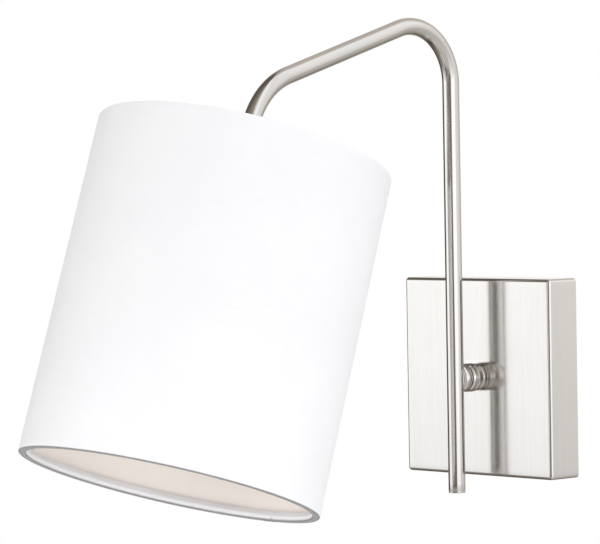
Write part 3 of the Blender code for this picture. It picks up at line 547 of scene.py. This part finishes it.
def lathe(node, place, profile, look, steps=96, closed=True, soft=0.0, shape=None, name=None,
          smooth_angle=SMOOTH_ANGLE):
    """A turned piece. soft rounds its corners, and shape(angle, radius, height) may give a point another radius."""
    if soft:
        profile = softened(profile, soft, closed)
    bm = bmesh.new()
    grain = bm.verts.layers.float_vector.new("grain")
    lengths = running_lengths(profile)
    widest = max(radius for radius, _ in profile)
    rings = []
    for i in range(steps):
        angle = tau * i / steps
        across, along = cos(angle), sin(angle)
        ring = []
        for (radius, height), length in zip(profile, lengths):
            if shape is not None:
                radius = shape(angle, radius, height)
            vert = bm.verts.new((radius * across, radius * along, height))
            vert[grain] = Vector((length, widest * across, widest * along)) * MM
            ring.append(vert)
        rings.append(ring)
    for i in range(steps):
        here, there = rings[i], rings[(i + 1) % steps]
        for j in range(len(profile) if closed else len(profile) - 1):
            k = (j + 1) % len(profile)
            bm.faces.new((here[j], there[j], there[k], here[k]))
    piece = to_piece(bm, node, place, look, name, smooth_angle)
    steady_normals(piece)
    return piece


def thread(low, high, pitch, depth, inside_of=0.0):
    """A shape for lathe(): a rolled thread between two heights, on points further out than inside_of."""
    def shape(angle, radius, height):
        if radius < inside_of or not low < height < high:
            return radius
        run_out = min(1.0, (height - low) / pitch, (high - height) / pitch)
        wave = 0.5 - 0.5 * cos(tau * height / pitch - angle)
        return radius - depth * run_out * wave
    return shape


def ribs(low, high, count, depth, inside_of):
    """A shape for lathe(): ribs along the axis between two heights."""
    def shape(angle, radius, height):
        if radius < inside_of or not low < height < high:
            return radius
        return radius - depth * (0.5 - 0.5 * cos(count * angle)) ** 0.7
    return shape


def rounded_path(corners, radii, steps):
    """A path of straight runs, cut into short lengths, with an arc at each inner corner."""
    path = [corners[0]]
    for before, corner, after, radius in zip(corners, corners[1:], corners[2:], radii):
        inwards = (corner - before).normalized()
        outwards = (after - corner).normalized()
        turn = inwards.angle(outwards)
        reach = radius * tan(turn / 2.0)
        middle = corner + (outwards - inwards).normalized() * (radius / cos(turn / 2.0))
        arm = corner - inwards * reach - middle
        spin = inwards.cross(outwards).normalized()
        extend_path(path, middle + arm)
        for i in range(1, steps + 1):
            path.append(middle + Matrix.Rotation(turn * i / steps, 3, spin) @ arm)
    extend_path(path, corners[-1])
    return path


def extend_path(path, target):
    start = path[-1]
    count = max(1, int((target - start).length / PATH_STEP))
    for i in range(1, count + 1):
        path.append(start.lerp(target, i / count))


def sweep(node, place, path, radius, look, sides, start=(), end=(), closed=False):
    """A round tube along a path. start and end are extra rings at its ends, as (distance inwards, radius)."""
    bm = bmesh.new()
    grain = bm.verts.layers.float_vector.new("grain")
    count = len(path)
    tangents = []
    for i in range(count):
        before = path[i - 1] if closed or i > 0 else path[i]
        after = path[(i + 1) % count] if closed or i < count - 1 else path[i]
        tangents.append((after - before).normalized())
    side = tangents[0].orthogonal().normalized()
    stations = [(path[0] + tangents[0] * inwards, tangents[0], size) for inwards, size in start]
    stations += [(point, tangent, radius) for point, tangent in zip(path, tangents)]
    stations += [(path[-1] - tangents[-1] * inwards, tangents[-1], size) for inwards, size in end]
    rings = []
    length = 0.0
    previous = stations[0][0]
    for centre, tangent, size in stations:
        side = (side - tangent * side.dot(tangent)).normalized()
        across = tangent.cross(side)
        length += (centre - previous).length
        previous = centre
        ring = []
        for i in range(sides):
            angle = tau * i / sides
            vert = bm.verts.new(centre + (side * cos(angle) + across * sin(angle)) * size)
            vert[grain] = Vector((radius * cos(angle), radius * sin(angle), length)) * MM
            ring.append(vert)
        rings.append(ring)
    pairs = list(zip(rings, rings[1:]))
    if closed:
        pairs.append((rings[-1], rings[0]))
    for here, there in pairs:
        for i in range(sides):
            k = (i + 1) % sides
            bm.faces.new((here[i], here[k], there[k], there[i]))
    return to_piece(bm, node, place, look)


def refined(node, bevel, look):
    """A copy of a CAD node with its seams welded, its flats merged and its edges softened."""
    source = nodes[node].data
    bm = bmesh.new()
    verts = [bm.verts.new(vertex.co) for vertex in source.vertices]
    for polygon in source.polygons:
        bm.faces.new([verts[i] for i in polygon.vertices])
    ops.remove_doubles(bm, verts=bm.verts, dist=WELD * MM)
    ops.dissolve_limit(bm, angle_limit=radians(1.0), verts=bm.verts, edges=bm.edges)
    piece = to_piece(bm, node, WORLD, look, unit=1.0)
    soften_edges(piece, bevel, SMOOTH_ANGLE)
    steady_normals(piece)


def cut_away(piece, cutter_bm, cutter_place):
    """Cuts a closed shape, made in metres, out of a piece for good."""
    ops.recalc_face_normals(cutter_bm, faces=cutter_bm.faces)
    cutter = add_object("cutter", to_mesh(cutter_bm, "cutter"), cutter_place)
    others = list(piece.modifiers)
    for other in others:
        other.show_viewport = False
    modifier = piece.modifiers.new("cut", "BOOLEAN")
    modifier.operation = "DIFFERENCE"
    modifier.object = cutter
    bpy.context.view_layer.update()
    graph = bpy.context.evaluated_depsgraph_get()
    result = bpy.data.meshes.new_from_object(piece.evaluated_get(graph), preserve_all_data_layers=True,
                                             depsgraph=graph)
    piece.modifiers.remove(modifier)
    for other in others:
        other.show_viewport = True
    result.set_sharp_from_angle(angle=radians(SMOOTH_ANGLE))
    piece.data = result
    bpy.data.objects.remove(cutter, do_unlink=True)


def cylinder_shape(bottom_radius, top_radius, bottom, top, sides=64):
    """A cylinder or cone in metres, from millimetres."""
    bm = bmesh.new()
    ops.create_cone(bm, cap_ends=True, segments=sides, radius1=bottom_radius * MM,
                    radius2=top_radius * MM, depth=(top - bottom) * MM)
    ops.translate(bm, verts=bm.verts, vec=(0.0, 0.0, (top + bottom) / 2.0 * MM))
    return bm


def box_shape(low, high):
    bm = bmesh.new()
    ops.create_cube(bm, size=1.0)
    ops.scale(bm, vec=high - low, verts=bm.verts)
    ops.translate(bm, vec=(high + low) / 2.0, verts=bm.verts)
    return bm


# -------- back plate
def make_back_plate():
    """A pressed pan, made in metres: rounded edges outside and inside, and an open back."""
    low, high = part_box("back_plate")
    half = (high.x - low.x) / 2.0
    bm = box_shape(low, high)
    rounded = [edge for edge in bm.edges if any(vert.co.y < low.y / 2.0 for vert in edge.verts)]
    ops.bevel(bm, geom=rounded, offset=PLATE_EDGE_RADIUS * MM, segments=6, profile=0.5, affect="EDGES")
    back = [face for face in bm.faces if all(abs(vert.co.y) < WELD * MM for vert in face.verts)]
    ops.delete(bm, geom=back, context="FACES")
    border, centre, wall = half - LIGHT_EDGE_BORDER * MM, LIGHT_EDGE_CENTRE * MM, PLATE_WALL * MM
    for offset in (-border, -centre, centre, border):
        for direction in (X_AXIS, X_AXIS.zyx):
            everything = list(bm.verts) + list(bm.edges) + list(bm.faces)
            ops.bisect_plane(bm, geom=everything, plane_co=offset * direction, plane_no=direction)
    ops.recalc_face_normals(bm, faces=bm.faces)
    outer_verts = list(bm.verts)
    rim = [edge for edge in bm.edges if edge.is_boundary]
    lining = ops.duplicate(bm, geom=outer_verts + list(bm.edges) + list(bm.faces))["vert_map"]
    shrink = (half - wall) / half
    for vert in outer_verts:
        lining[vert].co = (vert.co.x * shrink, vert.co.y * (1.0 + wall / low.y), vert.co.z * shrink)
    for edge in rim:
        first, second = edge.verts
        bm.faces.new((first, second, lining[second], lining[first]))
    plate = to_piece(bm, "back_plate", WORLD, "plate_nickel", "plate_shell", unit=1.0)
    soften_edges(plate, PLATE_RIM_BEVEL, 30.0)
    steady_normals(plate)
    bore = extent("nipple", SWIVEL)[1] + HOLE_PLAY
    cut_away(plate, cylinder_shape(bore, bore, -CUT_REACH, CUT_REACH), SWIVEL)
    under = at(0.0, PLATE_SCREW_Y, low.z / MM)
    cut_away(plate, cylinder_shape(PLATE_SCREW_HOLE, PLATE_SCREW_HOLE, -CUT_REACH, CUT_REACH), under)
    cut_away(plate, cylinder_shape(PLATE_SINK, 1.5, -0.4, 1.7), under)


def make_plate_screw():
    """A countersunk screw under the plate, with a straight slot."""
    place = at(0.0, PLATE_SCREW_Y, 0.0)
    _, head, bottom, top = extent("plate_screw", place)
    shank = PLATE_SCREW_SHANK
    neck = bottom + shank
    profile = [(0.0, bottom), (head - 0.1, bottom), (head, bottom + 0.1), (shank, neck)]
    profile += divided((shank, neck + 0.1), (shank, top - 0.4), 90)[1:]
    profile += [(shank - 0.4, top), (0.0, top)]
    screw = lathe("plate_screw", place, profile, "turned_nickel", 48, closed=False,
                  shape=thread(neck, top, 0.7, 0.28))
    low, high = Vector((-CUT_REACH, -0.4, bottom - 1.0)), Vector((CUT_REACH, 0.4, bottom + 0.65))
    cut_away(screw, box_shape(low * MM, high * MM), place)


# -------- swivel
def make_swivel_base():
    bore, flange, back, front = extent("swivel_base", SWIVEL)
    neck = bore + BASE_NECK_WALL
    profile = [(bore, front), (neck, front), (neck, BASE_FLANGE), (flange - 0.5, BASE_FLANGE),
               (flange, BASE_FLANGE - 0.5), (flange, back), (bore, back)]
    lathe("swivel_base", SWIVEL, profile, "turned_nickel", soft=0.25)


def make_lock_ring():
    """A round ring with a fine groove about its middle."""
    bore, crest, back, front = extent("lock_ring", SWIVEL)
    groove = (back + front) / 2.0
    profile = [
        (bore, front), (crest - 0.9, front), (crest - 0.15, front - 0.9), (crest, groove + 0.5),
        (crest - 0.45, groove + 0.15), (crest - 0.45, groove - 0.15), (crest, groove - 0.5),
        (crest - 0.15, back + 0.5), (crest - 0.6, back), (bore, back),
    ]
    lathe("lock_ring", SWIVEL, profile, "turned_nickel", soft=0.15)


def make_swivel_head():
    """A bead with a saddle cut into its front, in which the tube lies."""
    bore, crest, back, front = extent("swivel_head", SWIVEL)
    middle, half = (back + front) / 2.0, (front - back) / 2.0
    bead = [(crest - HEAD_BULGE + HEAD_BULGE * x, middle + half * z)
            for x, z in arc((0.0, 0.0), 1.0, 90.0, -90.0, 20)]
    head = lathe("swivel_head", SWIVEL, [(bore, front)] + bead + [(bore, back)], "turned_nickel")
    low, high = box("arm_tube")
    tube = (high.x - low.x) / 2.0
    saddle = tube + SADDLE_PLAY
    cut_away(head, cylinder_shape(saddle, saddle, -20.0, 20.0, 96), at(0.0, high.y - tube, 0.0))


def make_nipple():
    bore, outer, back, front = extent("nipple", SWIVEL)
    profile = [(bore, front)] + divided((outer, front - 0.3), (outer, back + 0.3), 150) + [(bore, back)]
    lathe("nipple", SWIVEL, profile, "zinc", 64, shape=thread(back, front, 0.94, 0.45, outer - 0.2))


# -------- arm
def arm_corners():
    """Where the arm's straight runs would meet, and the tube's radius."""
    low, high = box("arm_tube")
    radius = (high.x - low.x) / 2.0
    foot = Vector((0.0, high.y - radius, low.z))
    rim = SHADE.translation / MM
    up = SHADE.to_3x3() @ Vector((0.0, 0.0, 1.0))
    boom_corner = rim + up * DROP_TO_RIM
    run = (foot.y - boom_corner.y) / cos(BOOM_SLOPE)
    leg_corner = boom_corner + Vector((0.0, cos(BOOM_SLOPE), sin(BOOM_SLOPE))) * run
    return [foot, leg_corner, boom_corner, rim - up * TUBE_INSIDE_SHADE], radius


def make_arm_tube():
    corners, radius = arm_corners()
    inner = radius - TUBE_WALL
    path = rounded_path(corners, [UPPER_BEND, LOWER_BEND], 28)
    path[0] = path[0] + (path[1] - path[0]).normalized() * TUBE_LIP
    path[-1] = path[-1] + (path[-2] - path[-1]).normalized() * TUBE_LIP
    lip = [(TUBE_BORE_DEPTH, inner), (0.1, inner), (0.0, inner + 0.1), (0.0, radius - TUBE_LIP),
           (0.02, radius - 0.05)]
    start = [(inwards - TUBE_LIP, size) for inwards, size in lip]
    sweep("arm_tube", WORLD, path, radius, "tube_nickel", 64, start=start, end=list(reversed(start)))


def make_end_plug():
    low, high = box("tube_end_plug")
    radius = (high.x - low.x) / 2.0
    top, height = high.z - low.z, box("arm_tube")[0].z - low.z
    bore = radius - TUBE_WALL - PLUG_PLAY
    edge = 0.5
    profile = [(0.0, top), (bore, top), (bore, height - 0.2), (radius - 0.1, height - 0.2),
               (radius, height - 0.3)]
    profile += arc((radius - edge, edge), edge, 0.0, -90.0, 10) + [(0.0, 0.0)]
    place = at((low.x + high.x) / 2.0, (low.y + high.y) / 2.0, low.z)
    lathe("tube_end_plug", place, profile, "tube_nickel", 64, closed=False, name="end_plug_detail")


def make_tube_bushing():
    bore, outer, bottom, top = extent("tube_bushing", SHADE)
    inner = outer - TUBE_WALL - PLUG_PLAY
    step = bottom + 0.95
    profile = [(bore, top), (inner, top), (inner, step), (outer, step), (outer, bottom), (bore, bottom)]
    lathe("tube_bushing", SHADE, profile, "nylon", 64, soft=0.3, name="bushing_detail")


# -------- lamp holder
def make_holder_cap():
    bore, skirt, bottom, top = extent("holder_cap", SHADE)
    hub = HOLDER_HUB
    inside = skirt - PHENOLIC_SHEET
    profile = [
        (bore, top), (hub - 0.6, top), (hub, top - 0.6), (hub, top - 6.0), (11.0, top - 8.6),
        (16.5, top - 11.0), (skirt - 0.8, top - 13.8),
    ] + divided((skirt, bottom + 9.0), (skirt, bottom + 0.6), 16) + [
        (skirt - 0.4, bottom), (inside, bottom), (inside, top - 16.8), (16.0, top - 12.6),
        (10.5, top - 10.2), (bore, top - 8.6),
    ]
    lathe("holder_cap", SHADE, profile, "phenolic", 144, soft=0.9,
          shape=ribs(bottom + 0.9, bottom + 8.6, 72, 0.35, skirt - 0.3))


def make_holder_body():
    _, shoulder, mouth, top = extent("holder_body", SHADE)
    crest = shoulder - 1.4
    skirt = crest - 1.0
    inner = HOLDER_BORE
    thread_top, thread_end = top - 6.7, top - 25.7
    profile = [(0.0, top), (shoulder - 0.3, top), (shoulder, top - 0.3), (shoulder, thread_top)]
    profile += divided((crest, thread_top), (crest, thread_end), 84)
    profile += [(skirt, thread_end - 1.0), (skirt, mouth + 0.5), (skirt - 0.5, mouth), (inner + 0.4, mouth),
                (inner, mouth + 0.4), (inner, top - 5.0), (0.0, top - 5.0)]
    lathe("holder_body", SHADE, profile, "phenolic", 128, closed=False,
          shape=thread(thread_end, thread_top, HOLDER_THREAD, 0.7, crest - 0.1))


def make_screw_shell():
    _, outer, bottom, top = extent("screw_shell", SHADE)
    outside = divided((outer, top), (outer, bottom), 96)
    inside = [(radius - SHELL_SHEET, height) for radius, height in reversed(outside)]
    lathe("screw_shell", SHADE, outside + inside, "brass", shape=thread(bottom + 1.0, top - 1.0, BULB_THREAD, 0.75))


def make_contacts():
    """Two stepped buttons that meet: the holder's, widest above, and the bulb's, widest below."""
    for node in ("centre_contact", "bulb_contact"):
        _, wide, bottom, top = extent(node, SHADE)
        narrow, ledge = 0.55 * wide, (top + bottom) / 2.0
        if node == "centre_contact":
            profile = [(0.0, top), (wide, top), (wide, ledge), (narrow, bottom + 0.3), (narrow - 0.3, bottom),
                       (0.0, bottom)]
        else:
            profile = [(0.0, top), (narrow, top), (wide, ledge), (wide, bottom), (0.0, bottom)]
        lathe(node, SHADE, profile, "brass", 48, closed=False, soft=0.4)


def make_shade_ring():
    bore, lip, bottom, top = extent("shade_ring", SHADE)
    grip = lip - GRIP_DEPTH
    profile = [(bore, top), (lip - 0.4, top), (lip, top - 0.4), (lip, top - 1.4), (lip - 0.4, top - 1.8),
               (grip + 0.5, top - 2.3)]
    profile += divided((grip, top - 2.8), (grip, bottom + 0.5), 14)
    profile += [(grip - 0.5, bottom), (bore, bottom)]
    lathe("shade_ring", SHADE, profile, "phenolic", 192, soft=0.4,
          shape=ribs(bottom + 0.7, top - 3.0, 48, 0.5, grip - 0.2))


# -------- bulb
def make_bulb_cap():
    _, outer, bottom, top = extent("bulb_cap", SHADE)
    profile = [(CAP_HOLE, top), (CAP_HOLE + 1.4, top)]
    profile += divided((outer, top - 2.4), (outer, bottom), 84)
    profile += [(outer - 0.5, bottom), (outer - 1.6, top - 2.6), (CAP_HOLE, top - 0.5)]
    lathe("bulb_cap", SHADE, profile, "turned_nickel",
          shape=thread(bottom + 2.5, top - 1.6, BULB_THREAD, 0.9, outer - 0.2))


def make_bulb_insulator():
    _, outer, bottom, top = extent("bulb_insulator", SHADE)
    profile = [(0.0, top), (0.53 * outer, top), (0.97 * outer, bottom + 0.9), (outer, bottom + 0.3),
               (outer, bottom), (0.0, bottom)]
    lathe("bulb_insulator", SHADE, profile, "phenolic", 64, closed=False, soft=0.6)


def glass_outline(radius, neck, neck_height, tip_height, tip_radius):
    """The bulb's outline: a curve from the neck into a round globe, which starts start degrees up."""
    start = 40.0
    lead = 16.0
    globe = arc((0.0, tip_height + tip_radius), radius, start, -90.0, 40)
    slope = radians(start)
    a, b = Vector((neck, neck_height)), Vector((neck, neck_height - 14.0))
    d = Vector(globe[0])
    c = d + lead * Vector((-sin(slope), cos(slope)))
    throat = []
    for i in range(20):
        t = i / 20
        u = 1.0 - t
        throat.append(tuple(u ** 3 * a + 3.0 * u * u * t * b + 3.0 * u * t * t * c + t ** 3 * d))
    return throat + globe[:-1] + [(0.0, globe[-1][1])]


def make_bulb_glass():
    _, radius, tip, neck_height = extent("bulb_glass", SHADE)
    outside = glass_outline(radius, BULB_NECK, neck_height, tip, radius)
    inside = glass_outline(radius - BULB_WALL, BULB_NECK - BULB_WALL, neck_height, tip, radius)
    lathe("bulb_glass", SHADE, list(reversed(inside)) + outside, "glass", closed=False, smooth_angle=GLUE_ANGLE)


# -------- shade
def cloth_profile():
    """The cloth's middle line: from inside the upper ring, down the outside, and up behind the lower ring."""
    _, lower_radius, bottom, top = extent("shade_fabric", SHADE)
    middle = FOLD - FABRIC / 2.0
    upper = (lower_radius - TAPER - FOLD, top - FOLD)
    lower = (lower_radius - FOLD, bottom + FOLD)
    line = [(upper[0] - middle, upper[1] - 0.6)]
    line += arc(upper, middle, 180.0, 4.0, 14)
    line += divided((upper[0] + middle, upper[1] - 1.0), (lower[0] + middle, lower[1] + 1.0), 60)
    line += divided((lower[0] + middle, lower[1] + 0.7), (lower[0] + middle, bottom + 1.3), 4)
    inner = lower[0] - RING_WIRE - 0.6 * FABRIC
    crease_height = lower[1] - middle + CREASE
    line += arc((lower[0] + middle - CREASE, crease_height), CREASE, 0.0, -90.0, 6)
    line += arc((inner + CREASE, crease_height), CREASE, -90.0, -180.0, 6)
    line += divided((inner, bottom + 1.3), (inner, lower[1] + 0.1), 6)
    line += arc(lower, lower[0] - inner, 170.0, 125.0, 4)
    glued = extent("shade_liner", SHADE)[1] - LINER - 0.55 * FABRIC
    line += divided((lower[0] - 0.5, lower[1] + 2.3), (glued, bottom + LOWER_HEM), 6)
    return line


def sheet_sides(line, thickness):
    """Points on both sides of a line, at half a thickness."""
    sides = [], []
    for i, point in enumerate(line):
        before = Vector(line[max(0, i - 1)])
        after = Vector(line[min(len(line) - 1, i + 1)])
        normal = Vector((after - before).normalized().yx)
        normal.y = -normal.y
        for side, sign in zip(sides, (1.0, -1.0)):
            side.append(Vector(point) + normal * sign * thickness / 2.0)
    return sides


def wire_shadow(point, radius, fold_height):
    """How dark the ring's painted shadow is, as a grey line in the cloth at its fold, from 0 to 1: most at the fold
    itself.
    """
    reach = 1.1 if point.x < radius - 1.2 else 0.6
    line = max(0.0, 1.0 - max(0.0, point.y - fold_height - 0.3) / reach)
    across = abs(point.x - (radius - FOLD)) / FOLD
    return line * (0.76 + 0.24 * min(1.0, across) ** 3)


def seam_columns(climb, overlap):
    """Angles round the shade: once round, up onto the cloth's own start, and along it to the seam's end."""
    full = tau
    columns = [full * i / 240 for i in range(236)]
    columns += [full - climb * (1.0 - i / 6) for i in range(7)]
    return columns + [full + overlap * (i + 1) / 6 for i in range(6)]


def make_shade_cloth():
    """One sheet wrapped round the frame. It overlaps itself in a seam that faces the wall."""
    line = cloth_profile()
    sides = sheet_sides(line, FABRIC)
    section = list(zip(sides[0], range(len(line)))) + list(zip(sides[1], range(len(line))))[::-1]
    lengths = running_lengths(line)
    _, radius, fold_height, _ = extent("shade_fabric", SHADE)
    climb = SEAM_CLIMB / radius
    columns = seam_columns(climb, SEAM_OVERLAP / radius)
    bm = bmesh.new()
    cloth = bm.verts.layers.float_vector.new("cloth")
    # Each point keeps how much painted shadow of the lower ring it shows.
    hem = bm.verts.layers.float.new("hem")
    rings = []
    for angle in columns:
        rise = min(1.0, max(0.0, (angle - tau + climb) / climb))
        step = SEAM_STEP * rise * rise * (3.0 - 2.0 * rise)
        turn = radians(90.0) + angle
        around = Vector((cos(turn), sin(turn)))
        ring = []
        for point, index in section:
            wave = noise.noise(Vector((3.0 * around.x, 3.0 * around.y, 0.014 * point.y)))
            away = point.x + step + 0.10 * wave
            vert = bm.verts.new((away * around.x, away * around.y, point.y))
            vert[cloth] = Vector((angle * radius, lengths[index], 0.0)) * MM
            vert[hem] = wire_shadow(point, radius, fold_height)
            ring.append(vert)
        rings.append(ring)
    count = len(section)
    for here, there in zip(rings, rings[1:]):
        for j in range(count):
            k = (j + 1) % count
            bm.faces.new((here[j], there[j], there[k], here[k]))
    bm.faces.new(rings[0])
    bm.faces.new(list(reversed(rings[-1])))
    piece = to_piece(bm, "shade_fabric", SHADE, "linen", "shade_cloth", GLUE_ANGLE)


def make_shade_lining():
    _, outer, bottom, top = extent("shade_liner", SHADE)
    upper = outer - TAPER
    profile = divided((upper, top), (outer, bottom), 24)
    profile += divided((outer - LINER, bottom), (upper - LINER, top), 24)
    seam, seam_width, seam_lift = radians(96.0), radians(6.0), 0.35

    def shape(angle, radius, height):
        in_seam = 0.0 <= angle - seam <= seam_width and radius < outer - 0.4 * LINER
        return radius - (seam_lift if in_seam else 0.0)
    lathe("shade_liner", SHADE, profile, "styrene", 240, shape=shape, name="shade_lining")


def make_rings():
    for node in ("upper_ring", "lower_ring"):
        _, outer, bottom, top = extent(node, SHADE)
        circle = arc((0.0, 0.0), outer - RING_WIRE, 0.0, 357.0, 119)
        path = [Vector((x, y, (bottom + top) / 2.0)) for x, y in circle]
        sweep(node, SHADE, path, RING_WIRE, "zinc", 20, closed=True)


def make_fitter():
    bore, outer, bottom, top = extent("fitter_washer", SHADE)
    profile = [(bore, top), (outer, top), (outer, bottom), (bore, bottom)]
    lathe("fitter_washer", SHADE, profile, "zinc", soft=0.5, name="fitter_detail")


def make_spokes():
    """Three bent wires, welded to the washer below and to the upper ring above."""
    _, washer, *washer_heights = extent("fitter_washer", SHADE)
    _, ring, *ring_heights = extent("upper_ring", SHADE)
    height = sum(washer_heights) / 2.0
    foot, elbow = Vector((washer - 2.5, 0.0, height)), Vector((washer + 4.4, 0.0, height))
    top = Vector((ring - RING_WIRE, 0.0, sum(ring_heights) / 2.0))
    top += (elbow - top).normalized() * (RING_WIRE + 0.2)
    ends = [(0.0, 0.0), (0.0, 0.6 * SPOKE_WIRE), (0.15, 0.9 * SPOKE_WIRE)]
    inverse = SHADE.inverted()
    for index in (1, 2, 3):
        node = f"spoke_{index}"
        total = sum((inverse @ vertex.co for vertex in nodes[node].data.vertices), Vector((0.0, 0.0, 0.0)))
        turn = Matrix.Rotation(atan2(total.y, total.x), 4, "Z")
        path = [turn @ point for point in rounded_path([foot, elbow, top], [8.0], 12)]
        piece = sweep(node, SHADE, path, SPOKE_WIRE, "zinc", 20, start=ends, end=list(reversed(ends)))
        add_weld(piece, turn @ Vector((washer + 0.2, 0.0, height)), 2.2, index)
        add_weld(piece, turn @ top, 1.9, index + 10)


def add_weld(piece, centre, radius, seed):
    """A small uneven blob of weld metal, joined into a piece."""
    bm = bmesh.new()
    bm.from_mesh(piece.data)
    made = ops.create_icosphere(bm, subdivisions=3, radius=radius * MM)
    for vert in made["verts"]:
        lump = noise.noise(vert.co * 900.0 + Vector((seed, 0.0, 0.0)))
        vert.co = centre * MM + vert.co * (1.0 + 0.22 * lump)
    for face in bm.faces:
        face.smooth = True
    bm.to_mesh(piece.data)
    bm.free()


# -------- small hardware
def make_small_hardware():
    for node, bevel, look in (
        ("mounting_bar", 0.3, "zinc"), ("hook_clip", 0.2, "zinc"), ("stop_pin", 0.2, "zinc"),
        ("stop_washer", 0.2, "zinc"), ("spring_washer", 0.2, "zinc"), ("nipple_nut", 0.45, "brass"),
        ("tube_nut", 0.35, "brass"), ("box_screw_upper", 0.2, "zinc"), ("box_screw_lower", 0.2, "zinc"),
        ("ground_screw", 0.2, "green"), ("terminal_screw_line", 0.15, "brass"),
        ("terminal_screw_neutral", 0.15, "zinc"),
    ):
        refined(node, bevel, look)
    for node, look in (("lead_line", "black_wire"), ("lead_neutral", "white_wire"), ("ground_lead", "green")):
        for slot in nodes[node].material_slots:
            slot.material = LOOKS[look][1]


# -------- camera, light and floor
def make_camera():
    camera = bpy.data.cameras.new("camera")
    camera.sensor_width = SENSOR_WIDTH
    camera.lens = LENS
    camera.clip_end = FAR_CLIP
    forward = Vector((-sin(CAMERA_AZIMUTH) * cos(CAMERA_PITCH),
                      cos(CAMERA_AZIMUTH) * cos(CAMERA_PITCH), -sin(CAMERA_PITCH)))
    level = Vector((cos(CAMERA_AZIMUTH), sin(CAMERA_AZIMUTH), 0.0))
    up = level.cross(forward)
    right = cos(CAMERA_ROLL) * level + sin(CAMERA_ROLL) * up
    above = cos(CAMERA_ROLL) * up - sin(CAMERA_ROLL) * level
    turn = Matrix((right, above, -forward)).transposed().to_4x4()
    bpy.context.scene.camera = add_object("camera", camera, Matrix.Translation(CAMERA_PLACE) @ turn)


def studio_ramp(n, compass, levels):
    """A ramp of brightness by compass angle. Its darker parts are a little warmer."""
    ramp = n.add("ValToRGB", Fac=compass)
    elements = ramp.color_ramp.elements
    while len(elements) > 1:
        elements.remove(elements[-1])
    for index, (angle, level) in enumerate(levels):
        position = (angle + 180.0) / 360.0
        element = elements[0] if index == 0 else elements.new(position)
        element.position = position
        warmth = STUDIO_WARMTH * max(0.0, 1.0 - level / 1.1)
        shade = level / STUDIO_PEAK
        element.color = (shade * (1.0 + warmth), shade, shade * (1.0 - warmth), 1.0)
    return ramp, 0


def make_surroundings():
    """Plain white behind the lamp, and around it a studio of soft boxes with darker gaps between them."""
    world = bpy.data.worlds.new("studio")
    bpy.context.scene.world = world
    world.use_nodes = True
    n = Nodes(world.node_tree)
    n.tree.nodes.clear()
    direction = n.add("SeparateXYZ", Vector=(n.add("TexCoord"), "Generated"))
    angle = n.math("ARCTAN2", (direction, "X"), n.times((direction, "Y"), -1.0))
    compass = n.plus(n.times(angle, 0.5 / pi), 0.5)
    level, above, below = (studio_ramp(n, compass, levels)
                           for levels in (STUDIO_LEVEL, STUDIO_ABOVE, STUDIO_BELOW))
    height = direction, "Z"
    lifted = n.mixed(n.ranged(height, 0.16, 0.40), level, above)
    around = n.mixed(n.ranged(height, -0.20, -0.50), lifted, below)
    dimmed = n.times(n.ranged(height, -0.14, -0.045, 0.74, 1.0), STUDIO_PEAK)
    studio = n.add("Background", Color=around, Strength=dimmed)
    plain = n.add("Background", Color=(1.0, 1.0, 1.0, 1.0), Strength=1.0)
    seen = n.add("LightPath"), "Is Camera Ray"
    joined = n.add("MixShader", i0=seen, i1=(studio, 0), i2=(plain, 0))
    n.add("OutputWorld", Surface=(joined, 0))


def soft_light(name, azimuth, elevation, distance, size, power):
    """A large area light that points at the lamp's middle and shows in no reflection."""
    low, high = cad_box
    middle = (Vector(low) + Vector(high)) / 2.0
    a, e = radians(azimuth), radians(elevation)
    back = Vector((sin(a) * cos(e), -cos(a) * cos(e), sin(e)))
    light = bpy.data.lights.new(name, "AREA")
    light.shape = "SQUARE"
    light.size = size
    light.energy = power
    turn = back.to_track_quat("Z", "Y").to_matrix().to_4x4()
    obj = add_object(name, light, Matrix.Translation(middle + back * distance) @ turn)
    obj.visible_glossy = False
    obj.visible_camera = False


def make_floor():
    bm = bmesh.new()
    ops.create_circle(bm, cap_ends=True, segments=96, radius=FLOOR_RADIUS)
    mesh = to_mesh(bm, "floor")
    mesh.materials.append(studio_floor("pale_floor"))
    floor = add_object("floor", mesh, Matrix.Translation((0.0, FLOOR_MIDDLE_Y, FLOOR_HEIGHT)))
    floor.visible_glossy = False


make_camera()
make_surroundings()
make_floor()
for light_row in LIGHTS:
    soft_light(*light_row)
bpy.context.scene.view_settings.view_transform = "Standard"

for make in (
    make_back_plate, make_plate_screw, make_swivel_base, make_lock_ring, make_swivel_head, make_nipple,
    make_arm_tube, make_end_plug, make_tube_bushing, make_holder_cap, make_holder_body, make_screw_shell,
    make_contacts, make_shade_ring, make_bulb_cap, make_bulb_insulator, make_bulb_glass, make_shade_cloth,
    make_shade_lining, make_rings, make_fitter, make_spokes, make_small_hardware,
):
    make()
